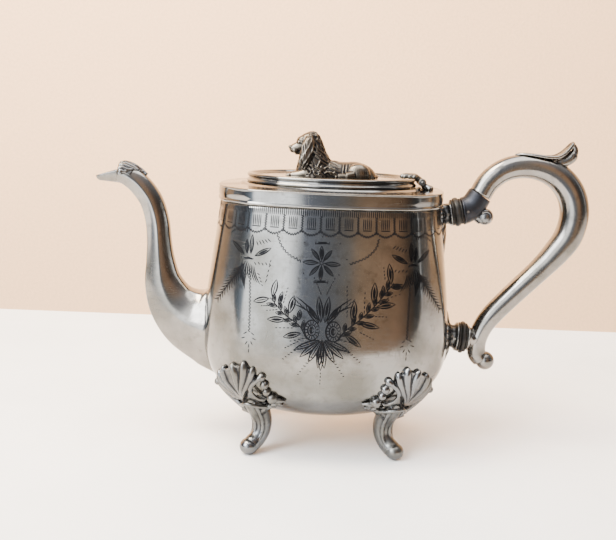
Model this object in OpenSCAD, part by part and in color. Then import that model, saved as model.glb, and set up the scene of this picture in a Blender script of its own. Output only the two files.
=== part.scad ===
// Oval four-footed teapot of silver-plated pewter: a panelled oval body on four cast shell feet,
// a hinged lid with a reclining spaniel finial, a swan-neck spout and a hollow scroll handle
// held off the body by two pinned insulators. Millimetres, +Z up, spout towards -X, handle +X.
// The origin is on the table plane, under the middle of the overall length.

/* [Body] */
// Half length of the body at its widest level
body_half_length = 67.8; // [64:0.1:70]
// Width of the body as a share of its length
body_width_ratio = 0.765; // [0.72:0.005:0.82]
// How far the eight panels flatten the oval, 0 for a plain oval
panel_flatness = 0.44; // [0:0.02:0.5]
// Height of the widest level above the table
belly_height = 58; // [54:0.5:60]
// Height of the underside of the body above the table
bottom_height = 16.3; // [15:0.1:18]
// Height of the top edge of the side wall
wall_top = 135.6; // [135:0.1:136.5]
// Half length of the body at the top of its side wall
top_half_length = 59.9; // [58:0.1:62]
// Sheet thickness of body, spout, handle and lid
sheet = 1.1; // [0.9:0.05:1.3]

/* [Shoulder and lid] */
// Half length of the lid
lid_half_length = 46.3; // [44:0.1:47]
// Width of the lid as a share of its length
lid_width_ratio = 0.8; // [0.76:0.01:0.84]
// Height of the seat that the lid rests on
seat_height = 144.7; // [144.5:0.1:145.5]
// Height of the lid's rim above its seat
lid_rise = 4.7; // [4:0.1:5.5]
// Gap between the lid and the parts that it closes on
lid_gap = 0.3; // [0.25:0.05:0.5]
// Depth of the flange under the lid
flange_depth = 4.2; // [3:0.1:5]

/* [Hinge] */
// Distance of the hinge axis from the body's middle
hinge_reach = 49; // [48.8:0.1:50]
// Height of the hinge axis above the table
hinge_height = 147.6; // [147:0.1:148]
// Outer radius of the knuckles
knuckle_radius = 2.1; // [1.9:0.05:2.3]
// Radius of the hinge pin
hinge_pin_radius = 0.8; // [0.7:0.05:1]

/* [Spout and handle] */
// Distance of the spout's tip from the body's middle
spout_reach = 129.3; // [128:0.1:131]
// Distance of the handle's back from the body's middle
handle_reach = 142.1; // [141:0.1:143]
// Tilt of the upper insulator's axis above the horizontal, in degrees
upper_tilt = 11; // [8:1:14]
// Tilt of the lower insulator's axis below the horizontal, in degrees
lower_tilt = 5; // [3:1:7]
// Radius of the tenons that join the insulators to socket and ferrule
tenon_radius = 3.2; // [2.8:0.1:3.6]
// Radius of the pins through the tenons
pin_radius = 0.8; // [0.6:0.05:1]

/* [Feet] */
// Distance of a toe from the body's middle, along the length
toe_x = 39.3; // [38:0.1:41]
// Distance of a toe from the body's middle, along the width
toe_y = 33; // [31:0.1:35]
// Radius of the ball that ends a toe
toe_radius = 5.2; // [4.6:0.1:5.4]
// Depth by which the ball is worn flat on the table
toe_flat = 0.7; // [0.4:0.1:1]

/* [Hidden] */

silver = [0.78, 0.77, 0.75];
cast_silver = [0.6, 0.6, 0.6];
dark_lead = [0.3, 0.32, 0.36];
black_horn = [0.1, 0.09, 0.09];

body_x = (spout_reach - handle_reach) / 2;
around = 60;
play = 0.03;
fit_gap = 0.05;

// Panel directions and distances of the eight-sided oval, for a half length of 1. The ridges lie
// at these shares of the half length.
ridge_near = 0.67;
ridge_far = 0.9;
ridge_sharpness = 34;
near_y = body_width_ratio * sqrt(1 - ridge_near * ridge_near);
far_y = body_width_ratio * sqrt(1 - ridge_far * ridge_far);
corner_dir = atan2(ridge_far - ridge_near, near_y - far_y);
corner_distance = ridge_near * cos(corner_dir) + near_y * sin(corner_dir);
panels = [
  [0, ridge_far], [corner_dir, corner_distance], [90, near_y], [180 - corner_dir, corner_distance],
  [180, ridge_far], [180 + corner_dir, corner_distance], [270, near_y],
  [360 - corner_dir, corner_distance]
];

function total(v, i = 0) = i < len(v) ? v[i] + total(v, i + 1) : 0;
function mix(a, b, t) = a + (b - a) * t;
function unit(v) = v / norm(v);

// How far out a direction lies in the plain oval and in the eight-sided one.
function oval_norm(a) = norm([cos(a), sin(a) / body_width_ratio]);
function panel_norm(a) =
  pow(total([for (p = panels) pow(max(0, cos(a - p[0]) / p[1]), ridge_sharpness)]),
      1 / ridge_sharpness);
function plan_radius(a, flatness) = 1 / mix(oval_norm(a), panel_norm(a), flatness);

// A level ring of the given half length, half width and flatness.
function ring(z, half_length, half_width, flatness = 0) =
  let (sx = half_length / plan_radius(0, flatness), sy = half_width / plan_radius(90, flatness))
  [for (i = [0 : around - 1])
    let (a = 360 * i / around, r = plan_radius(a, flatness))
    [sx * r * cos(a), sy * r * sin(a), z]];

// Cubic Bezier point, and a point on a Catmull-Rom curve through a list of stations.
function bezier(p, t) =
  pow(1 - t, 3) * p[0] + 3 * pow(1 - t, 2) * t * p[1] + 3 * (1 - t) * t * t * p[2] + pow(t, 3) * p[3];
function station(p, i) =
  i < 0 ? 2 * p[0] - p[1] : i > len(p) - 1 ? 2 * p[len(p) - 1] - p[len(p) - 2] : p[i];
function through(p, t) =
  let (i = min(floor(t), len(p) - 2), u = t - i,
       a = station(p, i - 1), b = station(p, i), c = station(p, i + 1), d = station(p, i + 2))
  0.5 * (2 * b + (c - a) * u + (2 * a - 5 * b + 4 * c - d) * u * u
         + (3 * b - a - 3 * c + d) * u * u * u);

// Closed solid through a list of rings; looped joins the last ring to the first.
module loft(rings, looped = false) {
  n = len(rings[0]);
  m = len(rings);
  sides = [for (i = [0 : (looped ? m : m - 1) - 1], j = [0 : n - 1])
    let (k = (j + 1) % n, a = i * n, b = ((i + 1) % m) * n)
    each [[a + j, b + j, b + k], [a + j, b + k, a + k]]];
  caps = looped ? [] : [[for (j = [0 : n - 1]) j], [for (j = [n - 1 : -1 : 0]) (m - 1) * n + j]];
  polyhedron([for (r = rings) each r], concat(sides, caps), convexity = 10);
}

// Section rings of a bent tube in the XZ plane. A station is [x, z, half height, half width];
// from and to are the angles of the arc that is kept, and shell is its wall, 0 for a solid.
function tube_rings(stations, steps, sides, from = 0, to = 360, shell = 0) =
  [for (s = [0 : steps])
    let (span = len(stations) - 1, t = span * s / steps, c = through(stations, t),
         d = through(stations, min(span, t + 0.01)) - through(stations, max(0, t - 0.01)),
         along = unit([d[0], d[1]]), up = [along[1], -along[0]])
    concat(
      [for (j = [0 : sides - (to - from == 360 ? 1 : 0)])
        let (a = mix(from, to, j / sides))
        [c[0] + up[0] * c[2] * cos(a), c[3] * sin(a), c[1] + up[1] * c[2] * cos(a)]],
      shell == 0 ? [] : [for (j = [sides : -1 : 0])
        let (a = mix(from, to, j / sides), h = c[2] - shell, w = c[3] - shell)
        [c[0] + up[0] * h * cos(a), w * sin(a), c[1] + up[1] * h * cos(a)]]
    )];

// Outline of the body from the middle of its underside to the top of its wall.
lower_curve = [
  [0, bottom_height], [36, bottom_height], [body_half_length, belly_height - 29],
  [body_half_length, belly_height]
];
upper_curve = [
  [body_half_length, belly_height], [body_half_length + 0.2, belly_height + 26],
  [top_half_length + 3.2, wall_top - 29], [top_half_length, wall_top]
];
pan_seam = 0.5;
// The panels fade out towards the middle of the underside.
function body_ring(curve, t, inset = 0) =
  let (p = bezier(curve, t), fade = curve == lower_curve ? t : 1)
  ring(p[1], p[0] - inset, (p[0] - inset / body_width_ratio) * body_width_ratio,
       panel_flatness * fade);
function levels(curve, from, to, steps, inset = 0) =
  [for (i = [0 : steps]) body_ring(curve, mix(from, to, i / steps), inset)];
function raised(rings, dz) = [for (r = rings) [for (p = r) p + [0, 0, dz]]];
function backwards(v) = [for (i = [len(v) - 1 : -1 : 0]) v[i]];

// Moves a piece from the body's own axis to the model's frame.
module placed() { translate([body_x, 0, 0]) children(); }

// Levels of the base, of the lower wall above it and of the upper wall.
base_levels = [0.08, pan_seam, 6];
lower_levels = [pan_seam, 1, 5];
upper_levels = [0.125, 1, 7];
function base_rings(inset = 0) =
  levels(lower_curve, base_levels[0], base_levels[1], base_levels[2], inset);
function wall_rings(inset = 0) =
  concat(levels(lower_curve, lower_levels[0], lower_levels[1], lower_levels[2], inset),
         levels(upper_curve, upper_levels[0], upper_levels[1], upper_levels[2], inset));

// The body's outside as one solid block, for trimming what is soldered onto it.
module body_block() {
  loft([for (i = [0 : base_levels[2] - 1]) base_rings()[i], each wall_rings()]);
}

/* Body */
strainer_z = 66;
strainer_pitch = 5.2;
strainer_radius = 1.4;
module body_wall() {
  color(silver) difference() {
    loft(concat(wall_rings(), backwards(wall_rings(sheet))), looped = true);
    for (row = [-2 : 2], i = [0 : 4 - abs(row)])
      translate([-body_half_length, (i - (4 - abs(row)) / 2) * strainer_pitch,
                 strainer_z + row * strainer_pitch * sin(60)])
        rotate([0, 90, 0]) cylinder(r = strainer_radius, h = 20, center = true, $fn = 24);
  }
}

module base_pan() {
  color(silver) difference() {
    loft(base_rings());
    loft(raised(base_rings(sheet), sheet));
  }
}

// Stepped shoulder: rim band, cavetto and the seat that the lid rests on.
opening_gap = 2.6;
function lid_ring(z, inset) =
  ring(z, lid_half_length - inset, (lid_half_length - inset / lid_width_ratio) * lid_width_ratio);
function shoulder_ring(z, t, proud = 0) =
  let (half_length = mix(top_half_length, lid_half_length, t) + proud,
       half_width = mix(top_half_length * body_width_ratio, lid_half_length * lid_width_ratio, t)
                    + proud)
  ring(z, half_length, half_width, panel_flatness * (1 - t));
shoulder_profile = [
  [wall_top - 0.1, 0, 0.05], [wall_top - 0.1, 0, 0.9], [wall_top + 0.8, 0, 1.4],
  [wall_top + 3.8, 0, 1.3], [seat_height - 2.3, 0, 1], [seat_height - 1.5, 0, 0.3],
  [seat_height - 1.3, 0.12, 0], [seat_height - 1.1, 0.45, 0], [seat_height - 0.8, 0.78, 0],
  [seat_height, 0.93, 0], [seat_height, 1, -opening_gap]
];
module shoulder() {
  color(silver) loft(concat(
    [for (p = shoulder_profile) shoulder_ring(p[0], p[1], p[2])],
    [shoulder_ring(seat_height - sheet, 1, -opening_gap),
     shoulder_ring(seat_height - 2.3, 0.5, -0.4),
     shoulder_ring(seat_height - 2.8, 0.08, -0.4),
     shoulder_ring(wall_top + 0.05, 0, -sheet),
     shoulder_ring(wall_top + 0.05, 0, 0.03)]
  ), looped = true);
}

// The shoulder's outside as one solid block.
module shoulder_block() {
  loft([for (i = [1 : len(shoulder_profile) - 2])
    let (p = shoulder_profile[i]) shoulder_ring(p[0], p[1], p[2])]);
}

/* Spout */
// Stations from inside the body to the mouth: [x, z, half height, half width].
spout_line = [
  [-55, 60, 26, 20], [-65, 62.5, 23.5, 17.6], [-77, 66.6, 18.8, 13.6], [-86.2, 74.6, 14.4, 10.6],
  [-91.6, 86, 10.9, 8.4], [-93.4, 98.5, 8.2, 7], [-94.2, 109.6, 7, 6.5], [-95.3, 120.7, 6.7, 6.3],
  [-98.6, 131.4, 6.5, 6.1], [-104.4, 139.6, 6.3, 6], [-110.7, 144.4, 5.9, 5.8], [-116.5, 146, 5, 5.3]
];
spout_steps = 26;
spout_sides = 24;
module spout_half(from, to) {
  color(silver) difference() {
    loft(tube_rings(spout_line, spout_steps, spout_sides / 2, from, to, sheet));
    body_block();
  }
}
// The neck's outside as one solid block, swollen by the given amount.
module spout_block(swell = 0) {
  loft(tube_rings([for (s = spout_line) s + [0, 0, swell, swell]], spout_steps, spout_sides));
}
module spout_front_half() { spout_half(180, 360); }
module spout_back_half() { spout_half(0, 180); }

// Open trough that carries the mouth's lower lip out to a point.
beak_root = -116.52;
function beak_ring(t) =
  let (x = mix(beak_root, -spout_reach, t), half_width = mix(5.3, 1, pow(t, 0.8)),
       top = mix(148, 144.3, t), depth = mix(7.2, 1.3, pow(t, 0.9)), thick = mix(1.1, 0.6, t))
  concat(
    [for (a = [0 : 18 : 180]) [x, half_width * cos(a), top - depth * sin(a)]],
    [for (a = [180 : -18 : 0])
      [x, (half_width - thick) * cos(a), top - (depth - thick) * sin(a)]]);
module spout_beak() {
  color(silver) difference() {
    loft([for (i = [0 : 8]) beak_ring(i / 8)]);
    spout_block();
  }
}

// Cast leaf capping the top of the mouth.
leaf_swell = [0.4, 0.9, 1.4, 1.8, 2, 1.9, 1.5];
leaf_play = 0.02;
module spout_leaf() {
  line = [for (i = [0 : 6]) through(spout_line, 8 + i / 2)];
  color(cast_silver) difference() {
    loft(tube_rings([for (i = [0 : 6]) line[i] + [0, 0, leaf_swell[i], leaf_swell[i]]], 10, 20));
    spout_block(leaf_play);
    loft(tube_rings([for (s = [mix(line[5], line[6], 0.7), 2 * line[6] - line[5]])
      s + [0, 0, leaf_play, leaf_play]], 2, spout_sides));
    // Only the upper side of the mouth carries the leaf.
    hull() for (s = [line[0], line[6]]) translate([s[0] - 3, -12, s[1] - 12.5])
      cube([6, 24, 14]);
  }
}

/* Feet */
// Cast shell over the belly's corner: [x, y, z, radius] of the balls that it wraps.
shell_points = [
  [44.5, 42.6, 54.6, 2], [51.5, 33, 44, 2.4], [50, 26, 36, 2.2], [40, 39.4, 42, 3.6],
  [30, 44, 43, 2.2], [22.5, 38.5, 32, 2], [33.5, 31.5, 27, 4]
];
module foot(side_x, side_y) {
  // Leg stations from the hidden root to the toe: [share of the way from axis to toe, height, r].
  leg = [
    [1.05, 42, 4.6], [0.96, 33, 5], [0.87, 26, 4.8], [0.83, 18.5, 4.7], [0.86, 11.5, 4.4],
    [0.96, 5.4, 4.6]
  ];
  turn = atan2(toe_y * side_y, toe_x * side_x);
  reach = norm([toe_x, toe_y]);
  color(cast_silver) intersection() {
    difference() {
      union() {
        rotate([0, 0, turn]) loft(tube_rings([for (s = leg) [s[0] * reach, s[1], s[2], s[2]]],
                                             12, 12));
        translate([toe_x * side_x, toe_y * side_y, toe_radius - toe_flat])
          sphere(r = toe_radius, $fn = 20);
        // Scallop shell spread over the corner of the belly.
        hull() for (p = shell_points)
          translate([side_x * p[0], side_y * p[1], p[2]]) sphere(r = p[3], $fn = 14);
      }
      body_block();
    }
    translate([side_x * 45, side_y * 40, 40]) cube([80, 78, 80], center = true);
  }
}
module foot_front_left() { foot(-1, -1); }
module foot_front_right() { foot(1, -1); }
module foot_back_left() { foot(-1, 1); }
module foot_back_right() { foot(1, 1); }

/* Handle mounts */
upper_mount = [66.6, 0, 131.2];
lower_mount = [74.6, 0, 61.2];
upper_insulator_thickness = 5.8;
lower_insulator_thickness = 5;
upper_insulator_radius = 8;
lower_insulator_radius = 9;
tenon_length = 4.6;
pin_depth = 2.5;
// Turns a shape made along +Z to lie along the joint's axis, starting at the socket's face.
module on_upper_axis() { translate(upper_mount) rotate([0, 90 - upper_tilt, 0]) children(); }
module on_lower_axis() { translate(lower_mount) rotate([0, 90 + lower_tilt, 0]) children(); }
// Bores that a tenon and its pin need, for a tenon that points along -Z (side -1) or +Z (side 1).
module tenon_bores(side, face_z) {
  translate([0, 0, face_z + side * (tenon_length - 0.6) / 2])
    cylinder(r = tenon_radius + play, h = tenon_length + 1, center = true, $fn = 36);
  translate([0, 0, face_z + side * pin_depth]) rotate([90, 0, 0])
    cylinder(r = pin_radius + play, h = 40, center = true, $fn = 24);
}

module socket(face_radius, neck_radius, length) {
  rotate_extrude($fn = 48) polygon(concat(
    [[0, 0], [face_radius, 0], [face_radius, -1.2]],
    [for (a = [0 : 15 : 90]) [neck_radius + (face_radius - neck_radius) * (1 - sin(a)), -1.2 - a / 60]],
    [for (a = [0 : 15 : 90]) [neck_radius + 2.5 * (1 - cos(a)), -2.7 - (length - 2.7) * a / 90]],
    [[0, -length]]));
}
module leaf_flange(points) {
  hull() for (p = points) translate([p[0], p[1], p[2]]) sphere(r = p[3], $fn = 16);
}
module upper_socket() {
  color(cast_silver) difference() {
    union() {
      on_upper_axis() socket(7.2, 6.2, 8);
      leaf_flange([[60.2, 5, 134, 2.2], [60.2, -5, 134, 2.2], [61.4, 6, 127, 2], [61.4, -6, 127, 2],
                   [63.2, 0, 111.5, 1.2]]);
    }
    body_block();
    on_upper_axis() tenon_bores(-1, 0);
    translate([0, 0, wall_top - 0.15]) cylinder(r = 90, h = 20, $fn = 60);
  }
}
module lower_socket() {
  color(cast_silver) difference() {
    union() {
      on_lower_axis() socket(8, 6.6, 8);
      leaf_flange([[66.8, 5, 69, 2.2], [66.8, -5, 69, 2.2], [67.4, 7.5, 61, 2.2],
                   [67.4, -7.5, 61, 2.2], [66.4, 0, 48, 1.8], [66.6, 0, 76, 1.6]]);
    }
    body_block();
    on_lower_axis() tenon_bores(-1, 0);
  }
}

// Turned disc with a tenon on each side; the pins cross both tenons.
module insulator(radius, thickness) {
  edge = 1.8;
  difference() {
    union() {
      rotate_extrude($fn = 60) polygon(concat(
        [[0, fit_gap], [radius - edge, fit_gap]],
        [for (a = [-90 : 22.5 : 90])
          [radius - edge + edge * cos(a), thickness / 2 + (thickness / 2 - fit_gap) * sin(a)]],
        [[0, thickness - fit_gap]]));
      translate([0, 0, -tenon_length])
        cylinder(r = tenon_radius, h = thickness + 2 * tenon_length, $fn = 36);
    }
    for (z = [-pin_depth, thickness + pin_depth]) translate([0, 0, z]) rotate([90, 0, 0])
      cylinder(r = pin_radius + play, h = 40, center = true, $fn = 24);
  }
}
module upper_insulator() {
  color(black_horn) on_upper_axis() insulator(upper_insulator_radius, upper_insulator_thickness);
}
module lower_insulator() {
  color(black_horn) on_lower_axis() insulator(lower_insulator_radius, lower_insulator_thickness);
}

module pin_across(z, length) {
  translate([0, 0, z]) rotate([90, 0, 0])
    cylinder(r = pin_radius, h = length, center = true, $fn = 24);
}
module insulator_pins() {
  color(silver) {
    on_upper_axis() pin_across(-pin_depth, 12.6);
    on_upper_axis() pin_across(upper_insulator_thickness + pin_depth, 14.6);
    on_lower_axis() pin_across(-pin_depth, 13.6);
    on_lower_axis() pin_across(lower_insulator_thickness + pin_depth, 9.6);
  }
}

/* Handle */
// Stations from the upper ferrule to the lower hook: [x, z, half height, half width].
handle_line = [
  [81.9, 141.9, 6.2, 6.2], [85.2, 148, 6.2, 6.2], [90.2, 153.1, 6.3, 6.3], [96, 156.4, 6.4, 6.4],
  [103, 158, 6.5, 6.5], [111, 157.9, 6.7, 6.7], [119.2, 155.6, 7.1, 7], [126.3, 151, 7.5, 7.3],
  [131.6, 144, 7.8, 7.5], [handle_reach - 7.9, 135.4, 7.9, 7.6], [133.9, 127.4, 7.9, 7.6],
  [131.3, 119, 7.8, 7.5], [125.4, 110.2, 7.2, 7], [117.6, 101, 6.4, 6.3], [103.4, 86, 6.1, 6],
  [93.3, 74.6, 5.9, 5.7], [88.2, 66.4, 5.5, 5.3], [85.9, 58.6, 5.3, 5.1], [86.2, 52.2, 5.2, 5],
  [88.8, 48.4, 4.9, 4.8]
];
handle_steps = 44;
hook_ball = [91.2, 0, 47.9];
hook_ball_radius = 5.2;
module handle_half(from, to) {
  color(silver) difference() {
    loft(tube_rings(handle_line, handle_steps, 8, from, to, sheet));
    on_lower_axis() lower_boss();
  }
}
module handle_block() { loft(tube_rings(handle_line, handle_steps, 16)); }
module handle_front_half() { handle_half(180, 360); }
module handle_back_half() { handle_half(0, 180); }
// Solid knob that closes the hook.
module handle_knob() {
  color(cast_silver) difference() {
    translate(hook_ball) sphere(r = hook_ball_radius, $fn = 32);
    handle_block();
  }
}

// Bent cap between the upper insulator and the handle tube.
upper_ferrule_line = [
  [69.2, 131.7, 7.3, 7.3], [73.4, 132.6, 7.4, 7.3], [77.9, 135.3, 7.1, 7], [81.9, 141.9, 6.7, 6.7]
];
module upper_ferrule() {
  color(dark_lead) difference() {
    loft(tube_rings(upper_ferrule_line, 8, 20));
    on_upper_axis() tenon_bores(1, upper_insulator_thickness);
    on_upper_axis() translate([0, 0, -10])
      cylinder(r = 20, h = 10 + upper_insulator_thickness, $fn = 36);
  }
}
// Volute that ends the ferrule, below the handle's root.
volute = [85.6, 0, 129.6];
module upper_curl() {
  color(cast_silver) difference() {
    union() {
      translate(volute) rotate([90, 0, 0]) cylinder(r = 4.7, h = 7.4, center = true, $fn = 48);
      translate(volute) rotate([90, 0, 0]) cylinder(r = 3, h = 10, center = true, $fn = 48);
      hull() {
        translate([80, 0, 131]) sphere(r = 3, $fn = 16);
        translate(volute - [0, 0, 1.6]) sphere(r = 3, $fn = 16);
      }
    }
    loft(tube_rings(upper_ferrule_line, 8, 20));
    handle_block();
  }
}
// Twelve-sided plug soldered into the handle's side, that the lower tenon enters.
module lower_boss() {
  translate([0, 0, lower_insulator_thickness]) rotate([0, 0, 15]) {
    cylinder(r = 6.8, h = 2.4, $fn = 12);
    cylinder(r = 4.9, h = tenon_length + 1.6, $fn = 12);
  }
}
module lower_ferrule() {
  color(cast_silver) on_lower_axis() difference() {
    lower_boss();
    tenon_bores(1, lower_insulator_thickness);
  }
}

// Cast leaf on the handle's crown, curling up to a free tip for the thumb.
module thumb_leaf() {
  spine = [[100, 163.6, 1.2], [106.5, 163.2, 2.7], [114.5, 162.4, 3.2], [121.5, 162.6, 3.1],
           [126.8, 165.8, 3], [130.4, 168.9, 2.6]];
  color(cast_silver) difference() {
    for (i = [0 : len(spine) - 2]) hull() for (p = [spine[i], spine[i + 1]])
      for (side = [-1, 1]) translate([p[0], side * p[2], p[1]]) sphere(r = p[2], $fn = 16);
    handle_block();
  }
}

/* Hinge */
// Half lengths along Y of the lid's knuckle and of the whole row of knuckles.
lid_knuckle = 3.2;
knuckle_row = 7.6;
knuckle_gap = 0.25;
module on_hinge() { translate([hinge_reach, 0, hinge_height]) rotate([-90, 0, 0]) children(); }
module pin_bore() {
  on_hinge() cylinder(r = hinge_pin_radius + play, h = 40, center = true, $fn = 24);
}
// Two outer knuckles on a cast leaf that is soldered to the shoulder.
module hinge_body_leaf() {
  width = knuckle_row - lid_knuckle - knuckle_gap;
  color(cast_silver) difference() {
    union() {
      for (side = [-1, 1]) {
        on_hinge() translate([0, 0, side * (knuckle_row - width / 2)])
          cylinder(r = knuckle_radius, h = width, center = true, $fn = 36);
        translate([hinge_reach - 0.8, side * (knuckle_row - width / 2) - width / 2,
                   hinge_height - 6]) cube([knuckle_radius + 0.8, width, 6]);
      }
      hull() {
        translate([hinge_reach + knuckle_radius - 0.9, -knuckle_row, hinge_height - 7])
          cube([1.2, 2 * knuckle_row, 5]);
        translate([54, -1.2, seat_height - 1.7]) cube([1, 2.4, 1.7]);
      }
    }
    pin_bore();
    shoulder_block();
    // Room for the lid's knuckle to turn.
    on_hinge() cylinder(r = knuckle_radius + 0.4, h = 2 * (lid_knuckle + knuckle_gap),
                        center = true, $fn = 36);
  }
}
module hinge_pin() {
  color(silver) on_hinge()
    cylinder(r = hinge_pin_radius, h = 2 * knuckle_row + 0.4, center = true, $fn = 24);
}
// The lid's knuckle, under a cast leaf that lies on the lid.
module hinge_lid_leaf() {
  color(cast_silver) difference() {
    union() {
      on_hinge() cylinder(r = knuckle_radius, h = 2 * lid_knuckle, center = true, $fn = 36);
      hull() {
        translate([hinge_reach - 3, -lid_knuckle, hinge_height + 0.4])
          cube([2.6, 2 * lid_knuckle, 1.6]);
        translate([hinge_reach - 7.5, -lid_knuckle - 1, lid_top - 1]) cube([1, 2 * lid_knuckle + 2, 2.4]);
        translate([hinge_reach - 11, -1, lid_top - 1]) cube([1, 2, 1.2]);
      }
    }
    pin_bore();
    lid_block();
  }
}

/* Lid */
lid_base = seat_height + lid_gap;
lid_top = lid_base + lid_rise;
plate_z = lid_top - 1.4;
plate_inset = 3.6;
lid_profile = [
  [0, 0.3], [0.5, 0], [1.4, -0.2], [2.2, 0.2], [2.8, 0.9], [3.7, 1.2], [4.3, 1.6],
  [lid_rise, 2.4]
];
module lid_block() {
  loft([for (p = lid_profile) lid_ring(lid_base + p[0], p[1])]);
}
module lid_rim() {
  color(silver) loft(concat(
    [for (p = lid_profile) lid_ring(lid_base + p[0], p[1])],
    [lid_ring(lid_top - 0.4, 3.1), lid_ring(plate_z, plate_inset), lid_ring(lid_base, plate_inset)]
  ), looped = true);
}
stud_radius = 1.5;
module stud_bore(r) { translate([0, 0, plate_z - 6]) cylinder(r = r, h = 8, $fn = 24); }
// Flat oval panel with the finial's stud hole and a small steam vent behind the finial.
module lid_plate() {
  color(silver) difference() {
    loft([lid_ring(plate_z - sheet, plate_inset), lid_ring(plate_z, plate_inset)]);
    stud_bore(stud_radius + fit_gap);
    translate([30, 0, plate_z - 3]) cylinder(r = 1, h = 6, $fn = 24);
  }
}
module lid_flange() {
  color(silver) loft([
    lid_ring(seat_height - flange_depth, 3.7), lid_ring(lid_base, 3.2),
    lid_ring(lid_base, 4.1), lid_ring(seat_height - flange_depth, 4.6)
  ], looped = true);
}

/* Finial */
module along(points) {
  hull() for (p = points) translate([p[0], p[1], p[2]]) sphere(r = p[3], $fn = 14);
}
module finial_spaniel() {
  color(cast_silver) intersection() {
    union() {
      // Trunk, from chest to tail root: [x, z, half height, half width].
      loft(tube_rings([[-20, 151, 7.4, 5.5], [-14, 152, 8.4, 7], [-6, 151.6, 7.2, 7.4],
                       [4, 150, 6.6, 7.2], [12.5, 149.6, 7.8, 8], [18.6, 148.4, 6.6, 7],
                       [23, 147.4, 3, 4]], 14, 20));
      along([[-13, 0, 158, 5], [-12.6, 0, 166.3, 6.2]]);
      along([[-14, 0, 165.8, 5.4], [-21.4, 0, 163.3, 2.6]]);
      for (side = [-1, 1]) {
        along([[-10.5, side * 4.8, 168, 2.2], [-9, side * 6.8, 160, 3], [-9.4, side * 7, 156, 2.4]]);
        along([[-18, side * 4.4, 149.6, 3], [-28.4, side * 3.8, 148.4, 1.7]]);
        along([[14, side * 6.6, 150, 4.4], [8, side * 7.6, 149, 2.6], [3, side * 8, plate_z, 1.8]]);
      }
      along([[20.4, 1, 148.6, 2], [23.6, 3.5, 148.4, 1.3]]);
    }
    translate([-60, -40, plate_z]) cube([120, 80, 40]);
  }
}
module finial_stud() {
  color(silver) translate([0, 0, plate_z - 5.4]) cylinder(r = stud_radius, h = 5.4, $fn = 24);
}
module finial_washer() {
  color(silver) translate([0, 0, plate_z - sheet - 0.8]) difference() {
    cylinder(r = 4.5, h = 0.8, $fn = 36);
    translate([0, 0, -1]) cylinder(r = stud_radius + fit_gap, h = 3, $fn = 24);
  }
}
module finial_nut() {
  color(silver) translate([0, 0, plate_z - sheet - 3.4]) difference() {
    cylinder(r = 3.2, h = 2.6, $fn = 6);
    translate([0, 0, -1]) cylinder(r = stud_radius + fit_gap, h = 5, $fn = 24);
  }
}

placed() body_wall();
placed() base_pan();
placed() shoulder();
placed() spout_front_half();
placed() spout_back_half();
placed() spout_beak();
placed() spout_leaf();
placed() foot_front_left();
placed() foot_front_right();
placed() foot_back_left();
placed() foot_back_right();
placed() upper_socket();
placed() upper_insulator();
placed() upper_ferrule();
placed() upper_curl();
placed() lower_socket();
placed() lower_insulator();
placed() lower_ferrule();
placed() insulator_pins();
placed() handle_front_half();
placed() handle_back_half();
placed() handle_knob();
placed() thumb_leaf();
placed() hinge_body_leaf();
placed() hinge_pin();
placed() lid_rim();
placed() lid_plate();
placed() lid_flange();
placed() hinge_lid_leaf();
placed() finial_spaniel();
placed() finial_stud();
placed() finial_washer();
placed() finial_nut();
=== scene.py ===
"""Looks of an old silver-plated teapot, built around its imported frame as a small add-on."""

import functools
import math

import bmesh
import bpy
import numpy as np
from mathutils import Matrix, Vector


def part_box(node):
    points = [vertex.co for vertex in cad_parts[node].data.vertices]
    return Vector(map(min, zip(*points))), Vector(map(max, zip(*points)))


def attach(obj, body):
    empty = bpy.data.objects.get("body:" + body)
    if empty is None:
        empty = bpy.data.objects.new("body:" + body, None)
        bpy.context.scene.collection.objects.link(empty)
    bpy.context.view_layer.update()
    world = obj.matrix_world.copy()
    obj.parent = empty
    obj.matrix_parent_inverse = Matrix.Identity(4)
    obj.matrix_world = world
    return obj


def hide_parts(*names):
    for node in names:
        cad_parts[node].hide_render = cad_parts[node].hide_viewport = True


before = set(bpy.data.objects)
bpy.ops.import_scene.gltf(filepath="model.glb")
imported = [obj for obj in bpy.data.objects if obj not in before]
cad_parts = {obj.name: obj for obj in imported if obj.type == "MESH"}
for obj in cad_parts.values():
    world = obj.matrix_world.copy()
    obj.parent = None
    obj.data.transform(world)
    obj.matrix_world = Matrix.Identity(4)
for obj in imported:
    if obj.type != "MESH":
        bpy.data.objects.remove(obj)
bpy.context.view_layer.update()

bl_info = {
    "name": "Silver teapot",
    "version": (1, 0, 0),
    "blender": (4, 5, 0),
    "location": "3D View > Sidebar > Teapot",
    "description": "Builds the visible pieces of an oval engraved silver teapot",
    "category": "Object",
}

MM = 0.001


def low(node):
    """Lowest corner of a frame node, in millimetres."""
    return [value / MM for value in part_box(node)[0]]


def high(node):
    """Highest corner of a frame node, in millimetres."""
    return [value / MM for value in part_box(node)[1]]


# Driving places, in millimetres from the body's upright axis and above the table.
AXIS_X = (low("lid_plate")[0] + high("lid_plate")[0]) / 2
BOTTOM = low("base_pan")[2]
WALL_TOP = high("body_wall")[2]
BELLY = (high("body_wall")[0] - low("body_wall")[0]) / 2
WIDTH_RATIO = (high("body_wall")[1] - low("body_wall")[1]) / 2 / BELLY
BELLY_Z = 58
SHOULDER_TOP = high("shoulder")[2]
TOP_REACH = 59.9
LID_REACH = 46.3
LID_RATIO = 0.8
LID_BASE = low("lid_rim")[2]
LID_TOP = high("lid_rim")[2]
PLATE_Z = high("lid_plate")[2]
PLATE_INSET = 3.6
HINGE = [high("hinge_pin")[0] - 0.8 - AXIS_X, 0, high("hinge_pin")[2] - 0.8]
SPOUT_REACH = low("spout_beak")[0] - AXIS_X
SHEET = 1.1
OPENING_GAP = 2.6


# ---------------------------------------------------------------- numbers and shapes
def mix(a, b, t):
    return a + (b - a) * t


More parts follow.
